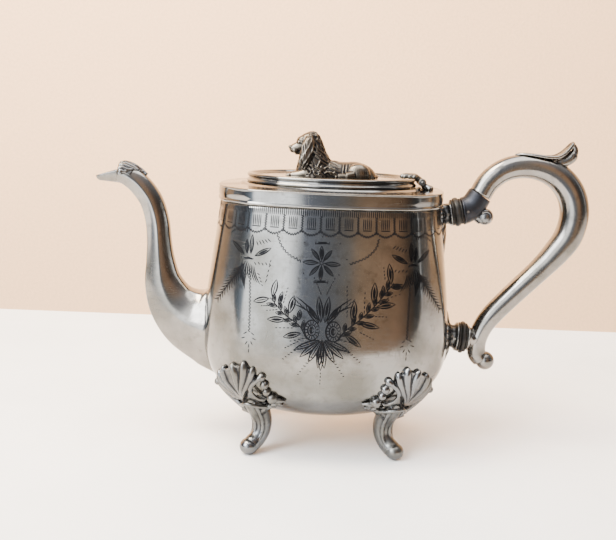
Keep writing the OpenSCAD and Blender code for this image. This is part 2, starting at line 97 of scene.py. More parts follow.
def smooth_step(a, b, value):
    t = np.clip((value - a) / (b - a), 0, 1)
    return t * t * (3 - 2 * t)


def panel_set():
    """Directions and distances of the eight soft panels of the body's plan."""
    near, far = 0.67, 0.9
    near_y = WIDTH_RATIO * math.sqrt(1 - near * near)
    far_y = WIDTH_RATIO * math.sqrt(1 - far * far)
    turn = math.atan2(far - near, near_y - far_y)
    distance = near * math.cos(turn) + near_y * math.sin(turn)
    quarter, half = math.pi / 2, math.pi
    return [(0, far), (turn, distance), (quarter, near_y), (half - turn, distance),
            (half, far), (half + turn, distance), (-quarter, near_y), (-turn, distance)]


PANELS = panel_set()


def plan_radius(angle, flatness):
    """Radius of the body's plan for a half length of one; flatness 0 is a plain oval."""
    angle = np.asarray(angle, float)
    oval = np.hypot(np.cos(angle), np.sin(angle) / WIDTH_RATIO)
    total = sum(np.maximum(0, np.cos(angle - turn) / distance) ** 34 for turn, distance in PANELS)
    return 1 / (mix(oval, total ** (1 / 34), flatness))


def ring(z, reach, width, flatness=0.0, count=192):
    """Level ring with the given half length and half width, in millimetres."""
    angle = np.linspace(0, 2 * math.pi, count, endpoint=False)
    radius = plan_radius(angle, flatness)
    along = reach / plan_radius(0, flatness) * radius * np.cos(angle)
    across = width / plan_radius(math.pi / 2, flatness) * radius * np.sin(angle)
    return np.stack([along, across, np.full(count, float(z))], 1)


def bezier(points, t):
    p = np.asarray(points, float)
    return ((1 - t) ** 3 * p[0] + 3 * (1 - t) ** 2 * t * p[1]
            + 3 * (1 - t) * t * t * p[2] + t ** 3 * p[3])


def lower_outline():
    return [[0, BOTTOM - 0.3], [36, BOTTOM - 0.3], [BELLY, BELLY_Z - 29], [BELLY, BELLY_Z]]


def upper_outline():
    return [[BELLY, BELLY_Z], [BELLY + 0.2, BELLY_Z + 26], [TOP_REACH + 3.2, WALL_TOP - 29],
            [TOP_REACH, WALL_TOP]]


def body_outline(steps=64):
    """Outline of the body, as [half length, height, panel flatness] from bottom to top."""
    return outline_for(bpy.context.scene.teapot_sizes.panel_flatness, steps)


@functools.lru_cache
def outline_for(flat, steps):
    lower = [(*bezier(lower_outline(), t), flat * t) for t in np.linspace(0.02, 1, steps // 2)]
    upper = [(*bezier(upper_outline(), t), flat) for t in np.linspace(0, 1, steps // 2 + 1)[1:]]
    return np.array(lower + upper)


def wall_at(angle, z, lift=0.0):
    """Points on the body's wall in a plan direction, at height z, lifted off along the normal."""
    angle, z, lift = np.broadcast_arrays(np.asarray(angle, float), z, lift)
    outline = body_outline()
    reach = np.interp(z, outline[:, 1], outline[:, 0])
    flat = np.interp(z, outline[:, 1], outline[:, 2])
    radius = plan_radius(angle, flat)
    x = reach / plan_radius(0, flat) * radius * np.cos(angle)
    y = reach * WIDTH_RATIO / plan_radius(math.pi / 2, flat) * radius * np.sin(angle)
    slope = np.interp(z, outline[1:, 1], np.diff(outline[:, 0]) / np.diff(outline[:, 1]))
    out = np.stack([x, y / WIDTH_RATIO ** 2, -slope * reach], -1)
    out = out / np.linalg.norm(out, axis=-1, keepdims=True)
    return np.stack([x, y, z], -1) + out * lift[..., None]


def wall_angle(x, z):
    """Plan direction of the back wall's point at length x and height z."""
    x, z = np.broadcast_arrays(np.asarray(x, float), np.asarray(z, float))
    outline = body_outline()
    reach = np.interp(z, outline[:, 1], outline[:, 0])
    flat = np.interp(z, outline[:, 1], outline[:, 2])
    start, end = np.full(x.shape, math.pi), np.zeros(x.shape)
    for _ in range(30):
        angle = (start + end) / 2
        here = reach / plan_radius(0, flat) * plan_radius(angle, flat) * np.cos(angle)
        start, end = np.where(here < x, angle, start), np.where(here < x, end, angle)
    return angle


def body_point(x, z, side=-1):
    """Points on the body's wall at length x and height z; side -1 is the front."""
    return wall_at(wall_angle(x, z) * side, z)


def body_normal(x, z, side=-1):
    """Outward normals of the body's wall, from its own surface."""
    step = 0.2
    along = body_point(x + step, z, side) - body_point(x - step, z, side)
    upward = body_point(x, z + step, side) - body_point(x, z - step, side)
    normal = np.cross(along, upward) * -side
    return normal / np.linalg.norm(normal, axis=-1, keepdims=True)


def through(stations, t):
    """Point on a Catmull-Rom curve through stations; t runs over the station numbers."""
    p = np.asarray(stations, float)
    p = np.vstack([2 * p[0] - p[1], p, 2 * p[-1] - p[-2]])
    i = min(int(t), len(p) - 4)
    u = t - i
    a, b, c, d = p[i:i + 4]
    return 0.5 * (2 * b + (c - a) * u + (2 * a - 5 * b + 4 * c - d) * u * u
                  + (3 * b - a - 3 * c + d) * u ** 3)


def tube_frames(stations, steps):
    """Centres, up vectors and sizes along a bent tube in the XZ plane."""
    last = len(stations) - 1
    rows = []
    for t in np.linspace(0, last, steps + 1):
        here = through(stations, t)
        ahead, behind = through(stations, min(last, t + 0.01)), through(stations, max(0, t - 0.01))
        along = (ahead - behind)[:2]
        along = along / np.linalg.norm(along)
        rows.append((here[0], here[1], here[2], here[3], along[1], -along[0]))
    return np.array(rows)


def tube_rings(stations, steps, section):
    """Rings of a bent tube; section gives points [upward, sideways] for sizes of one."""
    rings = []
    for x, z, tall, wide, up_x, up_z in tube_frames(stations, steps):
        rings.append(np.stack([x + up_x * tall * section[:, 0], wide * section[:, 1],
                               z + up_z * tall * section[:, 0]], 1))
    return rings


def round_section(count=48):
    angle = np.linspace(0, 2 * math.pi, count, endpoint=False)
    return np.stack([np.cos(angle), np.sin(angle)], 1)


# ---------------------------------------------------------------- mesh making
def new_piece(name, points, faces, material, body="pot", slot="silver_plate", smooth=True):
    """Mesh object from points in millimetres from the body's axis."""
    mesh = bpy.data.meshes.new(name)
    points = (np.asarray(points, float) + [AXIS_X, 0, 0]) * MM
    mesh.from_pydata(points.tolist(), [], [list(map(int, face)) for face in faces])
    mesh.validate()
    mesh.materials.append(material)
    piece = bpy.data.objects.new(name, mesh)
    bpy.context.scene.collection.objects.link(piece)
    tidy_mesh(piece, smooth)
    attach(piece, body)
    return piece


SAME_PLACE = 1e-6


def tidy_mesh(piece, smooth=True):
    """Merges doubles, points the faces outwards and shades them smooth."""
    work = bmesh.new()
    work.from_mesh(piece.data)
    bmesh.ops.remove_doubles(work, verts=work.verts, dist=SAME_PLACE)
    bmesh.ops.recalc_face_normals(work, faces=work.faces)
    for face in work.faces:
        face.smooth = smooth
    work.to_mesh(piece.data)
    work.free()


def lofted(rings, looped=False):
    """Points and faces of a skin through rings of equal length."""
    rings = [np.asarray(r, float) for r in rings]
    count, rows = len(rings[0]), len(rings)
    points = np.concatenate(rings)
    faces = []
    for i in range(rows if looped else rows - 1):
        a, b = i * count, (i + 1) % rows * count
        for j in range(count):
            k = (j + 1) % count
            faces.append((a + j, a + k, b + k, b + j))
    if not looped:
        faces.append(tuple(range(count - 1, -1, -1)))
        faces.append(tuple(range((rows - 1) * count, rows * count)))
    return points, faces


def joined(parts):
    """Joins several (points, faces) pairs into one pair."""
    points, faces, start = [], [], 0
    for part_points, part_faces in parts:
        points.append(np.asarray(part_points, float))
        faces += [tuple(start + i for i in face) for face in part_faces]
        start += len(part_points)
    return np.concatenate(points), faces


def lathe(profile, count=64):
    """Turned solid about Z from [radius, height] points that start and end on the axis."""
    angle = np.linspace(0, 2 * math.pi, count, endpoint=False)
    rings = [np.stack([r * np.cos(angle), r * np.sin(angle), np.full(count, float(z))], 1)
             for r, z in profile]
    return lofted(rings)


def ball(centre, radius, scale=(1, 1, 1), rows=14, count=24):
    turn = np.linspace(0.02, math.pi - 0.02, rows)
    points, faces = lathe([(math.sin(a), -math.cos(a)) for a in turn], count)
    return points * radius * np.asarray(scale) + centre, faces


def placed(part, matrix):
    points, faces = part
    spun = np.asarray(matrix)[:3, :3]
    return points @ spun.T + np.asarray(matrix)[:3, 3], faces


def swept(path, radii, count=16, flatten=1.0, side=(0, 1, 0)):
    """Round tube along any path in space, closed at both ends."""
    path = np.asarray(path, float)
    radii = np.broadcast_to(np.asarray(radii, float), len(path))
    rings = []
    for i, centre in enumerate(path):
        along = path[min(i + 1, len(path) - 1)] - path[max(i - 1, 0)]
        along /= np.linalg.norm(along)
        across = np.asarray(side, float) - along * np.dot(along, side)
        across /= np.linalg.norm(across)
        up = np.cross(across, along)
        angle = np.linspace(0, 2 * math.pi, count, endpoint=False)
        rings.append(centre + radii[i] * (np.outer(np.cos(angle), across)
                                          + flatten * np.outer(np.sin(angle), up)))
    return lofted(rings)


def curve_through(points, steps):
    """Smooth path through points in space."""
    return np.array([through(points, t) for t in np.linspace(0, len(points) - 1, steps)])


def set_mask(piece, name, values):
    """Stores one value for each vertex, for the piece's material to read."""
    layer = piece.data.attributes.new(name, 'FLOAT', 'POINT')
    layer.data.foreach_set("value", np.asarray(values, np.float32))


def vertex_array(piece):
    """Vertex places in millimetres from the body's axis."""
    flat = np.empty(len(piece.data.vertices) * 3)
    piece.data.vertices.foreach_get("co", flat)
    return flat.reshape(-1, 3) / MM - [AXIS_X, 0, 0]


def hollow_mask(piece, reach=3):
    """Stores how deep each vertex lies below its neighbours: 0 on crests, 1 in recesses."""
    work = bmesh.new()
    work.from_mesh(piece.data)
    work.verts.ensure_lookup_table()
    places = np.array([v.co[:] for v in work.verts])
    normals = np.array([v.normal[:] for v in work.verts])
    ends = np.array([(e.verts[0].index, e.verts[1].index) for e in work.edges])
    work.free()
    degree = np.bincount(ends.ravel(), minlength=len(places))[:, None] + 1e-9
    mean = places.copy()
    for _ in range(reach):
        total = np.zeros_like(mean)
        np.add.at(total, ends[:, 0], mean[ends[:, 1]])
        np.add.at(total, ends[:, 1], mean[ends[:, 0]])
        mean = total / degree
    depth = np.einsum("ij,ij->i", mean - places, normals)
    spread = np.percentile(np.abs(depth), 92) + 1e-9
    set_mask(piece, "hollow", np.clip(0.5 + 0.5 * depth / spread, 0, 1))


# ---------------------------------------------------------------- materials
NOISE_ROUGHNESS = 0.55


class Tree:
    """Short words for building a node tree."""

    def __init__(self, tree):
        self.tree = tree

    def node(self, kind, **settings):
        made = self.tree.nodes.new(kind)
        for name, value in settings.items():
            setattr(made, name, value)
        return made

    def link(self, source, target):
        self.tree.links.new(source, target)

    def feed(self, socket, value):
        if isinstance(value, bpy.types.NodeSocket):
            self.link(value, socket)
        else:
            socket.default_value = value

    def math(self, operation, a, b=0.0, clamp=False):
        made = self.node("ShaderNodeMath", operation=operation, use_clamp=clamp)
        self.feed(made.inputs[0], a)
        self.feed(made.inputs[1], b)
        return made.outputs[0]

    def noise(self, place, scale, detail=4.0, stretch=None):
        if stretch:
            mapping = self.node("ShaderNodeMapping")
            self.link(place, mapping.inputs["Vector"])
            mapping.inputs["Scale"].default_value = stretch[0]
            mapping.inputs["Rotation"].default_value = stretch[1]
            place = mapping.outputs[0]
        made = self.node("ShaderNodeTexNoise")
        self.link(place, made.inputs["Vector"])
        self.feed(made.inputs["Scale"], scale)
        made.inputs["Detail"].default_value = detail
        made.inputs["Roughness"].default_value = NOISE_ROUGHNESS
        return made.outputs["Fac"]

    def span(self, value, low_in, high_in, low_out=0.0, high_out=1.0):
        made = self.node("ShaderNodeMapRange")
        for socket, number in zip(made.inputs[:5], (value, low_in, high_in, low_out, high_out)):
            self.feed(socket, number)
        return made.outputs[0]

    def blend(self, factor, a, b):
        made = self.node("ShaderNodeMix", data_type='RGBA', blend_type='MIX')
        self.feed(made.inputs["Factor"], factor)
        self.feed(made.inputs[6], a)
        self.feed(made.inputs[7], b)
        return made.outputs[2]


def new_group(name, inputs, outputs):
    group = bpy.data.node_groups.new(name, "ShaderNodeTree")
    for label, kind, value in inputs:
        socket = group.interface.new_socket(label, in_out='INPUT', socket_type=kind)
        socket.default_value = value
    for label, kind in outputs:
        group.interface.new_socket(label, in_out='OUTPUT', socket_type=kind)
    tree = Tree(group)
    return group, tree, tree.node("NodeGroupInput").outputs, tree.node("NodeGroupOutput").inputs


COLOUR, NUMBER = "NodeSocketColor", "NodeSocketFloat"


def handled_metal_group():
    """Tarnish clouds, rubbed scratches and dents of a polished plate that has been used."""
    group, tree, given, result = new_group(
        "handled_metal",
        [("Bright", COLOUR, (0.7, 0.7, 0.7, 1)), ("Tarnish", COLOUR, (0.3, 0.3, 0.3, 1)),
         ("Clouds", NUMBER, 0.5), ("Scratches", NUMBER, 0.5), ("Polish", NUMBER, 0.15)],
        [("Colour", COLOUR), ("Roughness", NUMBER), ("Height", NUMBER)])
    place = tree.node("ShaderNodeTexCoord").outputs["Object"]
    clouds = tree.noise(place, 34, 5)
    spots = tree.noise(place, 240, 4)
    cloud_mask = tree.math('MULTIPLY', tree.span(clouds, 0.4, 0.64), given["Clouds"], True)
    spot_mask = tree.math('MULTIPLY', tree.span(spots, 0.57, 0.7), given["Clouds"], True)
    first = tree.noise(place, 60, 2, ((1, 1, 40), (0.5, 0.9, 0.2)))
    second = tree.noise(place, 70, 2, ((36, 1, 1), (0.7, 0.4, 1.1)))
    third = tree.noise(place, 110, 2, ((1, 44, 1), (1.2, 0.2, 0.6)))
    lines = tree.math('MAXIMUM', tree.span(first, 0.62, 0.7), tree.span(second, 0.64, 0.72))
    lines = tree.math('MAXIMUM', lines, tree.span(third, 0.66, 0.72))
    scratched = tree.math('MULTIPLY', lines, given["Scratches"], True)
    worn = tree.blend(cloud_mask, given["Bright"], given["Tarnish"])
    worn = tree.blend(tree.math('MULTIPLY', spot_mask, 0.6), worn, given["Tarnish"])
    tree.link(tree.blend(tree.math('MULTIPLY', scratched, 0.3), worn, given["Tarnish"]),
              result["Colour"])
    rough = tree.math('ADD', given["Polish"], tree.math('MULTIPLY', cloud_mask, 0.16))
    tree.link(tree.math('ADD', rough, tree.math('MULTIPLY', scratched, 0.1), True),
              result["Roughness"])
    dents = tree.noise(place, 26, 1)
    height = tree.math('ADD', tree.math('MULTIPLY', dents, 0.6),
                       tree.math('MULTIPLY', scratched, -0.012))
    tree.link(tree.math('ADD', height, tree.math('MULTIPLY', spots, 0.012)), result["Height"])
    return group


def recess_group():
    """Dark deposit that stays in the hollows of a casting while its crests are rubbed bright."""
    group, tree, given, result = new_group(
        "recess_deposit",
        [("Metal", COLOUR, (0.7, 0.7, 0.7, 1)), ("Deposit", COLOUR, (0.05, 0.05, 0.05, 1)),
         ("Roughness", NUMBER, 0.2), ("Amount", NUMBER, 1.0)],
        [("Colour", COLOUR), ("Roughness", NUMBER), ("Height", NUMBER)])
    hollow = tree.node("ShaderNodeAttribute", attribute_name="hollow").outputs["Fac"]
    place = tree.node("ShaderNodeTexCoord").outputs["Object"]
    grains = tree.noise(place, 900, 3)
    patches = tree.noise(place, 120, 4)
    ragged = tree.math('ADD', hollow, tree.math('MULTIPLY', tree.math('SUBTRACT', patches, 0.5), 0.5))
    mask = tree.math('MULTIPLY', tree.span(ragged, 0.42, 0.78), given["Amount"], True)
    tree.link(tree.blend(mask, given["Metal"], given["Deposit"]), result["Colour"])
    rough = tree.math('ADD', given["Roughness"], tree.math('MULTIPLY', mask, 0.35), True)
    tree.link(rough, result["Roughness"])
    tree.link(tree.math('MULTIPLY', grains, 0.5), result["Height"])
    return group


def principled(name, metallic):
    material = bpy.data.materials.new(name)
    material.use_nodes = True
    tree = Tree(material.node_tree)
    shader = material.node_tree.nodes["Principled BSDF"]
    shader.inputs["Metallic"].default_value = metallic
    return material, tree, shader


def add_bump(tree, shader, height, strength, distance):
    bump = tree.node("ShaderNodeBump")
    bump.inputs["Strength"].default_value = strength
    bump.inputs["Distance"].default_value = distance
    tree.link(height, bump.inputs["Height"])
    tree.link(bump.outputs[0], shader.inputs["Normal"])


def placed_group(tree, group, **values):
    made = tree.node("ShaderNodeGroup", node_tree=group)
    for label, value in values.items():
        tree.feed(made.inputs[label], value)
    return made.outputs


def plate_material(name, group, bright, tarnish, polish, clouds, scratches, dent=0.25):
    material, tree, shader = principled(name, 1.0)
    out = placed_group(tree, group, Bright=bright, Tarnish=tarnish, Polish=polish,
                       Clouds=clouds, Scratches=scratches)
    tree.link(out["Colour"], shader.inputs["Base Color"])
    tree.link(out["Roughness"], shader.inputs["Roughness"])
    add_bump(tree, shader, out["Height"], dent, 0.0009)
    return material


def cast_material(name, handled, recess, bright, tarnish, polish, amount):
    material, tree, shader = principled(name, 1.0)
    plate = placed_group(tree, handled, Bright=bright, Tarnish=tarnish, Polish=polish,
                         Clouds=0.8, Scratches=0.3)
    out = placed_group(tree, recess, Metal=plate["Colour"], Roughness=plate["Roughness"],
                       Deposit=tuple(bpy.context.scene.teapot_colours.deposit) + (1,),
                       Amount=amount)
    tree.link(out["Colour"], shader.inputs["Base Color"])
    tree.link(out["Roughness"], shader.inputs["Roughness"])
    add_bump(tree, shader, out["Height"], 0.35, 0.0002)
    return material


def horn_material():
    material, tree, shader = principled("black_horn", 0.0)
    place = tree.node("ShaderNodeTexCoord").outputs["Object"]
    streaks = tree.noise(place, 90, 5, ((1, 1, 5), (0, 0.2, 0)))
    worn = tree.noise(place, 400, 3)
    colour = tree.blend(tree.span(streaks, 0.4, 0.75), (0.004, 0.0035, 0.003, 1), (0.016, 0.013, 0.011, 1))
    tree.link(colour, shader.inputs["Base Color"])
    tree.link(tree.span(worn, 0.3, 0.7, 0.42, 0.6), shader.inputs["Roughness"])
    shader.inputs["Specular IOR Level"].default_value = 0.25
    add_bump(tree, shader, worn, 0.25, 0.0002)
    return material


def cut_material():
    """Oxidised bottom of an engraved cut, with a painted glint: noise patches of lighter base colour that
    stand in for light caught by its wall.
    """
    material, tree, shader = principled("engraved_cut", 1.0)
    place = tree.node("ShaderNodeTexCoord").outputs["Object"]
    painted_glint = tree.noise(place, 500, 3)
    cut = tuple(bpy.context.scene.teapot_colours.engraved) + (1,)
    # Painted glint: where the noise is high the cut gets a lighter colour in place of a real highlight.
    tree.link(tree.blend(tree.span(painted_glint, 0.6, 0.78), cut, (0.03, 0.03, 0.03, 1)),
              shader.inputs["Base Color"])
    tree.link(tree.span(painted_glint, 0.3, 0.7, 0.55, 0.38), shader.inputs["Roughness"])
    return material


def stage_material(name, colour, grain, height):
    material, tree, shader = principled(name, 0.0)
    place = tree.node("ShaderNodeTexCoord").outputs["Object"]
    lumps = tree.noise(place, grain, 4)
    darker = tuple(c * 0.93 for c in colour[:3]) + (1,)
    tree.link(tree.blend(tree.span(lumps, 0.35, 0.65), tuple(colour[:3]) + (1,), darker),
              shader.inputs["Base Color"])
    shader.inputs["Roughness"].default_value = 0.55
    add_bump(tree, shader, lumps, height, 0.002)
    return material


MATERIALS = {}


def make_materials():
    colours = bpy.context.scene.teapot_colours
    bright, tarnish = tuple(colours.silver) + (1,), tuple(colours.tarnish) + (1,)
    handled, recess = handled_metal_group(), recess_group()
    plate, cast = plate_material, cast_material
    MATERIALS.update(
        plate=plate("silver_plate", handled, bright, tarnish, 0.085, 0.95, 0.8),
        smooth=plate("silver_tube", handled, (0.225, 0.213, 0.2, 1), tarnish, 0.14, 0.8, 0.5, 0.18),
        inside=plate("silver_inside", handled, tarnish, (0.2, 0.19, 0.17, 1), 0.38, 0.9, 0.4),
        cast=cast("cast_silver", handled, recess, (0.145, 0.149, 0.155, 1), tarnish, 0.19, 0.85),
        finial=cast("finial_silver", handled, recess, (0.13, 0.112, 0.09, 1), (0.05, 0.042, 0.034, 1),
                    0.22, 1.0),
        lead=plate("worn_lead_cap", handled, (0.03, 0.032, 0.038, 1), (0.014, 0.014, 0.017, 1),
                   0.4, 0.9, 0.5),
        pins=plate("pin_metal", handled, bright, tarnish, 0.25, 0.5, 0.5),
        horn=horn_material(),
        cut=cut_material(),
    )


# ---------------------------------------------------------------- sheet-metal pieces
def make_body():
    """Raised wall and rounded base, with the stained inner face."""
    outline = body_outline(96)
    step = np.gradient(outline[:, :2], axis=0)
    out = np.stack([step[:, 1], -step[:, 0]], 1)
    out /= np.linalg.norm(out, axis=1, keepdims=True)
    inner = outline[:, :2] - out * SHEET
    outer_rings = [ring(z, r, r * WIDTH_RATIO, f) for r, z, f in outline]
    inner_rings = [ring(z, r, (r + SHEET) * WIDTH_RATIO - SHEET, f)
                   for (r, z), f in zip(inner, outline[:, 2]) if r > 1]
    body = new_piece("body", *lofted(outer_rings + inner_rings[::-1]), MATERIALS["plate"])
    body.data.materials.append(MATERIALS["inside"])
    middle = np.array([0, 0, 80])
    for face in body.data.polygons:
        centre = np.array(face.center) / MM - [AXIS_X, 0, 0]
        face.material_index = 1 if np.dot(np.array(face.normal), centre - middle) < 0 else 0
    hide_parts("body_wall", "base_pan")


def shoulder_ring(z, t, proud):
    flat = bpy.context.scene.teapot_sizes.panel_flatness * (1 - t)
    return ring(z, mix(TOP_REACH, LID_REACH, t) + proud,
                mix(TOP_REACH * WIDTH_RATIO, LID_REACH * LID_RATIO, t) + proud, flat)


def make_shoulder():
    """Rim band, flat ledge and the raised seat that the lid rests on."""
    edge = SHOULDER_TOP - 1.3
    profile = [(WALL_TOP - 0.1, 0, 0.04), (WALL_TOP - 0.1, 0, 0.8), (WALL_TOP + 0.1, 0, 1.1),
               (WALL_TOP + 0.6, 0, 1.3), (WALL_TOP + 1.1, 0, 1.25), (WALL_TOP + 1.4, 0, 0.85),
               (WALL_TOP + 1.8, 0, 0.8), (WALL_TOP + 3, 0, 1.05), (WALL_TOP + 4.4, 0, 1.1),
               (edge - 1.6, 0, 0.95), (edge - 0.9, 0, 0.9)]
    profile += [(edge - 0.45 + 0.45 * math.sin(a), 0, 0.6 + 0.55 * math.cos(a))
                for a in np.linspace(-0.9, 1.5, 9)]
    profile += [(edge + 0.02, 0.02, 0), (edge - 0.1, 0.05, 0), (edge - 0.05, 0.12, 0),
                (edge + 0.12, 0.4, 0), (edge + 0.3, 0.68, 0), (edge + 0.5, 0.76, 0),
                (SHOULDER_TOP - 0.15, 0.8, 0), (SHOULDER_TOP, 0.83, 0), (SHOULDER_TOP, 0.99, 0),
                (SHOULDER_TOP, 1, -OPENING_GAP + 0.2), (SHOULDER_TOP - 0.2, 1, -OPENING_GAP),
                (SHOULDER_TOP - SHEET, 1, -OPENING_GAP), (SHOULDER_TOP - 2.3, 0.5, -0.4),
                (SHOULDER_TOP - 2.8, 0.08, -0.4), (WALL_TOP + 0.05, 0, -SHEET)]
    rings = [shoulder_ring(*p) for p in profile]
    shoulder = new_piece("shoulder", *lofted(rings, looped=True), MATERIALS["plate"])
    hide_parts("shoulder")


def lid_ring(z, inset):
    return ring(z, LID_REACH - inset, LID_REACH * LID_RATIO - inset)


def make_lid():
    """Moulded rim, flat oval plate and the flange that guides the lid."""
    rise = LID_TOP - LID_BASE
    bead = [(LID_TOP - 1 + math.sin(a), 1.2 - math.cos(a)) for a in np.linspace(-1.2, 1.9, 12)]
    profile = [(LID_BASE, 0.35), (LID_BASE + 0.15, 0.1), (LID_BASE + 0.7, 0),
               (LID_BASE + 1.2, 0.15), (LID_BASE + 1.45, 0.75), (LID_BASE + 0.45 * rise, 1.0),
               (LID_TOP - 2.1, 0.85)]
    profile += bead
    profile += [(LID_TOP - 0.35, 2.1), (LID_TOP - 0.85, 2.5), (PLATE_Z + 0.15, 3.1),
                (PLATE_Z + 0.02, PLATE_INSET), (LID_BASE, PLATE_INSET)]
    rim = new_piece("lid_rim", *lofted([lid_ring(z, i) for z, i in profile], looped=True),
                    MATERIALS["plate"], "lid")
    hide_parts("lid_rim")
    top = [lid_ring(PLATE_Z + 0.5 * (1 - t * t), mix(LID_REACH * LID_RATIO - 0.6, PLATE_INSET, t))
           for t in np.linspace(0, 1, 14)]
    under = [r - [0, 0, SHEET] for r in top[::-1]]
    plate = new_piece("lid_plate", *lofted(top + under), MATERIALS["plate"], "lid")
    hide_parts("lid_plate")
    bottom = low("lid_flange")[2]
    flange = [lid_ring(bottom, 3.75), lid_ring(bottom + 0.4, 3.55), lid_ring(LID_BASE, 3.2),
              lid_ring(LID_BASE, 4.1), lid_ring(bottom, 4.5)]
    collar = new_piece("lid_flange", *lofted(flange, looped=True), MATERIALS["inside"], "lid")
    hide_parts("lid_flange")


SPOUT_LINE = [
    [-55, 60, 26, 20], [-65, 62.5, 23.5, 17.6], [-77, 66.6, 18.8, 13.6], [-86.2, 74.6, 14.4, 10.6],
    [-91.6, 86, 10.9, 8.4], [-93.4, 98.5, 8.2, 7], [-94.2, 109.6, 7, 6.5], [-95.3, 120.7, 6.7, 6.3],
    [-98.6, 131.4, 6.5, 6.1], [-104.4, 139.6, 6.3, 6], [-110.7, 144.4, 5.9, 5.8],
    [-116.5, 146, 5, 5.3],
]


def ridged_section(count=72, depth=0.5):
    """Section of the spout: a round with six soft panels and crisp ridges between them."""
    angle = np.linspace(0, 2 * math.pi, count, endpoint=False)
    panels = [(0, 0.96), (1.02, 0.93), (2.05, 0.93), (math.pi, 0.93), (-2.05, 0.93), (-1.02, 0.93)]
    total = sum(np.maximum(0, np.cos(angle - turn) / far) ** 40 for turn, far in panels)
    radius = 1 / mix(1, total ** (1 / 40), depth)
    return np.stack([radius * np.cos(angle), radius * np.sin(angle)], 1)


def close_holes(piece):
    """Fills the open ends that trimming leaves, hidden under the body's surface."""
    work = bmesh.new()
    work.from_mesh(piece.data)
    loose = [v for v in work.verts if not v.link_faces]
    bmesh.ops.delete(work, geom=loose, context='VERTS')
    edges = [e for e in work.edges if e.is_boundary]
    bmesh.ops.holes_fill(work, edges=edges, sides=0)
    work.to_mesh(piece.data)
    work.free()


def make_spout():
    """Hollow swan neck with its ridges, soldered to the body, and the open beak."""
    section = ridged_section()
    outer = tube_rings(SPOUT_LINE, 90, section)
    wall = [[x, z, tall - SHEET, wide - SHEET] for x, z, tall, wide in SPOUT_LINE]
    inner = tube_rings(wall, 90, section)
    inner[-1] = mix(inner[-1], outer[-1], 0.25)
    points, faces = lofted(outer + inner[::-1], looped=True)
    deepest = keep_outside(points, 0.9)
    buried = np.linalg.norm(deepest - points, axis=1) > 4
    faces = [face for face in faces if not all(buried[i] for i in face)]
    points = keep_outside(points, 0.4)
    spout = new_piece("spout", points, faces, MATERIALS["smooth"])
    close_holes(spout)
    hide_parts("spout_front_half", "spout_back_half")
    rings = []
    for t in np.linspace(0, 1, 24):
        x = mix(-116.6, SPOUT_REACH, t)
        round_off = math.sqrt(1 - 0.97 * max(0, (t - 0.8) / 0.2) ** 2)
        half, top = mix(5.3, 1.7, t ** 0.9) * round_off, mix(148.5, 144.4, t)
        depth, thick = mix(7.8, 2.6, t ** 0.95) * round_off, mix(1, 0.5, t) * round_off
        turn = np.linspace(0, math.pi, 25)
        outside = np.stack([np.full(25, x), half * np.cos(turn),
                            top - depth * np.sin(turn) ** 0.9], 1)
        inside = np.stack([np.full(25, x), (half - thick) * np.cos(turn),
                           top + 0.02 - (depth - thick) * np.sin(turn) ** 0.9], 1)
        rings.append(np.concatenate([outside, inside[::-1]]))
    beak = new_piece("spout_beak", *lofted(rings), MATERIALS["smooth"])
    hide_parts("spout_beak")


HANDLE_LINE = [
    [81.9, 141.9, 6.2, 6.2], [85.2, 148, 6.2, 6.2], [90.2, 153.1, 6.3, 6.3], [96, 156.4, 6.4, 6.4],
    [103, 158, 6.5, 6.5], [111, 157.9, 6.7, 6.7], [119.2, 155.6, 7.1, 7], [126.3, 151, 7.5, 7.3],
    [131.6, 144, 7.8, 7.5], [134.2, 135.4, 7.9, 7.6], [133.9, 127.4, 7.9, 7.6],
    [131.3, 119, 7.8, 7.5], [125.4, 110.2, 7.2, 7], [117.6, 101, 6.4, 6.3], [103.4, 86, 6.1, 6],
    [93.3, 74.6, 5.9, 5.7], [88.2, 66.4, 5.5, 5.3], [85.9, 58.6, 5.3, 5.1], [86.2, 52.2, 5.2, 5],
    [88.8, 48.4, 4.9, 4.8],
]
HOOK_BALL = [91.2, 0, 47.9]


def make_handle():
    """Scroll handle as one closed tube without a seam, and the knob that ends its hook."""
    rings = tube_rings(HANDLE_LINE, 130, round_section())
    handle = new_piece("handle", *lofted(rings), MATERIALS["smooth"])
    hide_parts("handle_front_half", "handle_back_half")
    knob = joined([ball(HOOK_BALL, 5.25, rows=24, count=40)])
    knob_piece = new_piece("handle_knob", *knob, MATERIALS["smooth"], slot="cast_silver")
    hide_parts("handle_knob")


# ---------------------------------------------------------------- stage
def area_light(name, place, target, size, power, colour):
    lamp = bpy.data.lights.new(name, 'AREA')
    lamp.shape = 'RECTANGLE'
    lamp.size, lamp.size_y = size
    lamp.energy = power
    lamp.color = colour
    holder = bpy.data.objects.new(name, lamp)
    holder.location = place
    direction = Vector(target) - Vector(place)
    holder.rotation_euler = direction.to_track_quat('-Z', 'Y').to_euler()
    bpy.context.scene.collection.objects.link(holder)


def stage_sheet(name, outline, depth, material):
    """Smooth sheet swept along X from an outline of YZ points."""
    points, faces = [], []
    for i, (y, z) in enumerate(outline):
        points += [(-depth, y, z), (depth, y, z)]
        if i:
            faces.append((2 * i - 2, 2 * i - 1, 2 * i + 1, 2 * i))
    mesh = bpy.data.meshes.new(name)
    mesh.from_pydata(points, [], faces)
    mesh.materials.append(material)
    for face in mesh.polygons:
        face.use_smooth = True
    sheet = bpy.data.objects.new(name, mesh)
    bpy.context.scene.collection.objects.link(sheet)
    return sheet


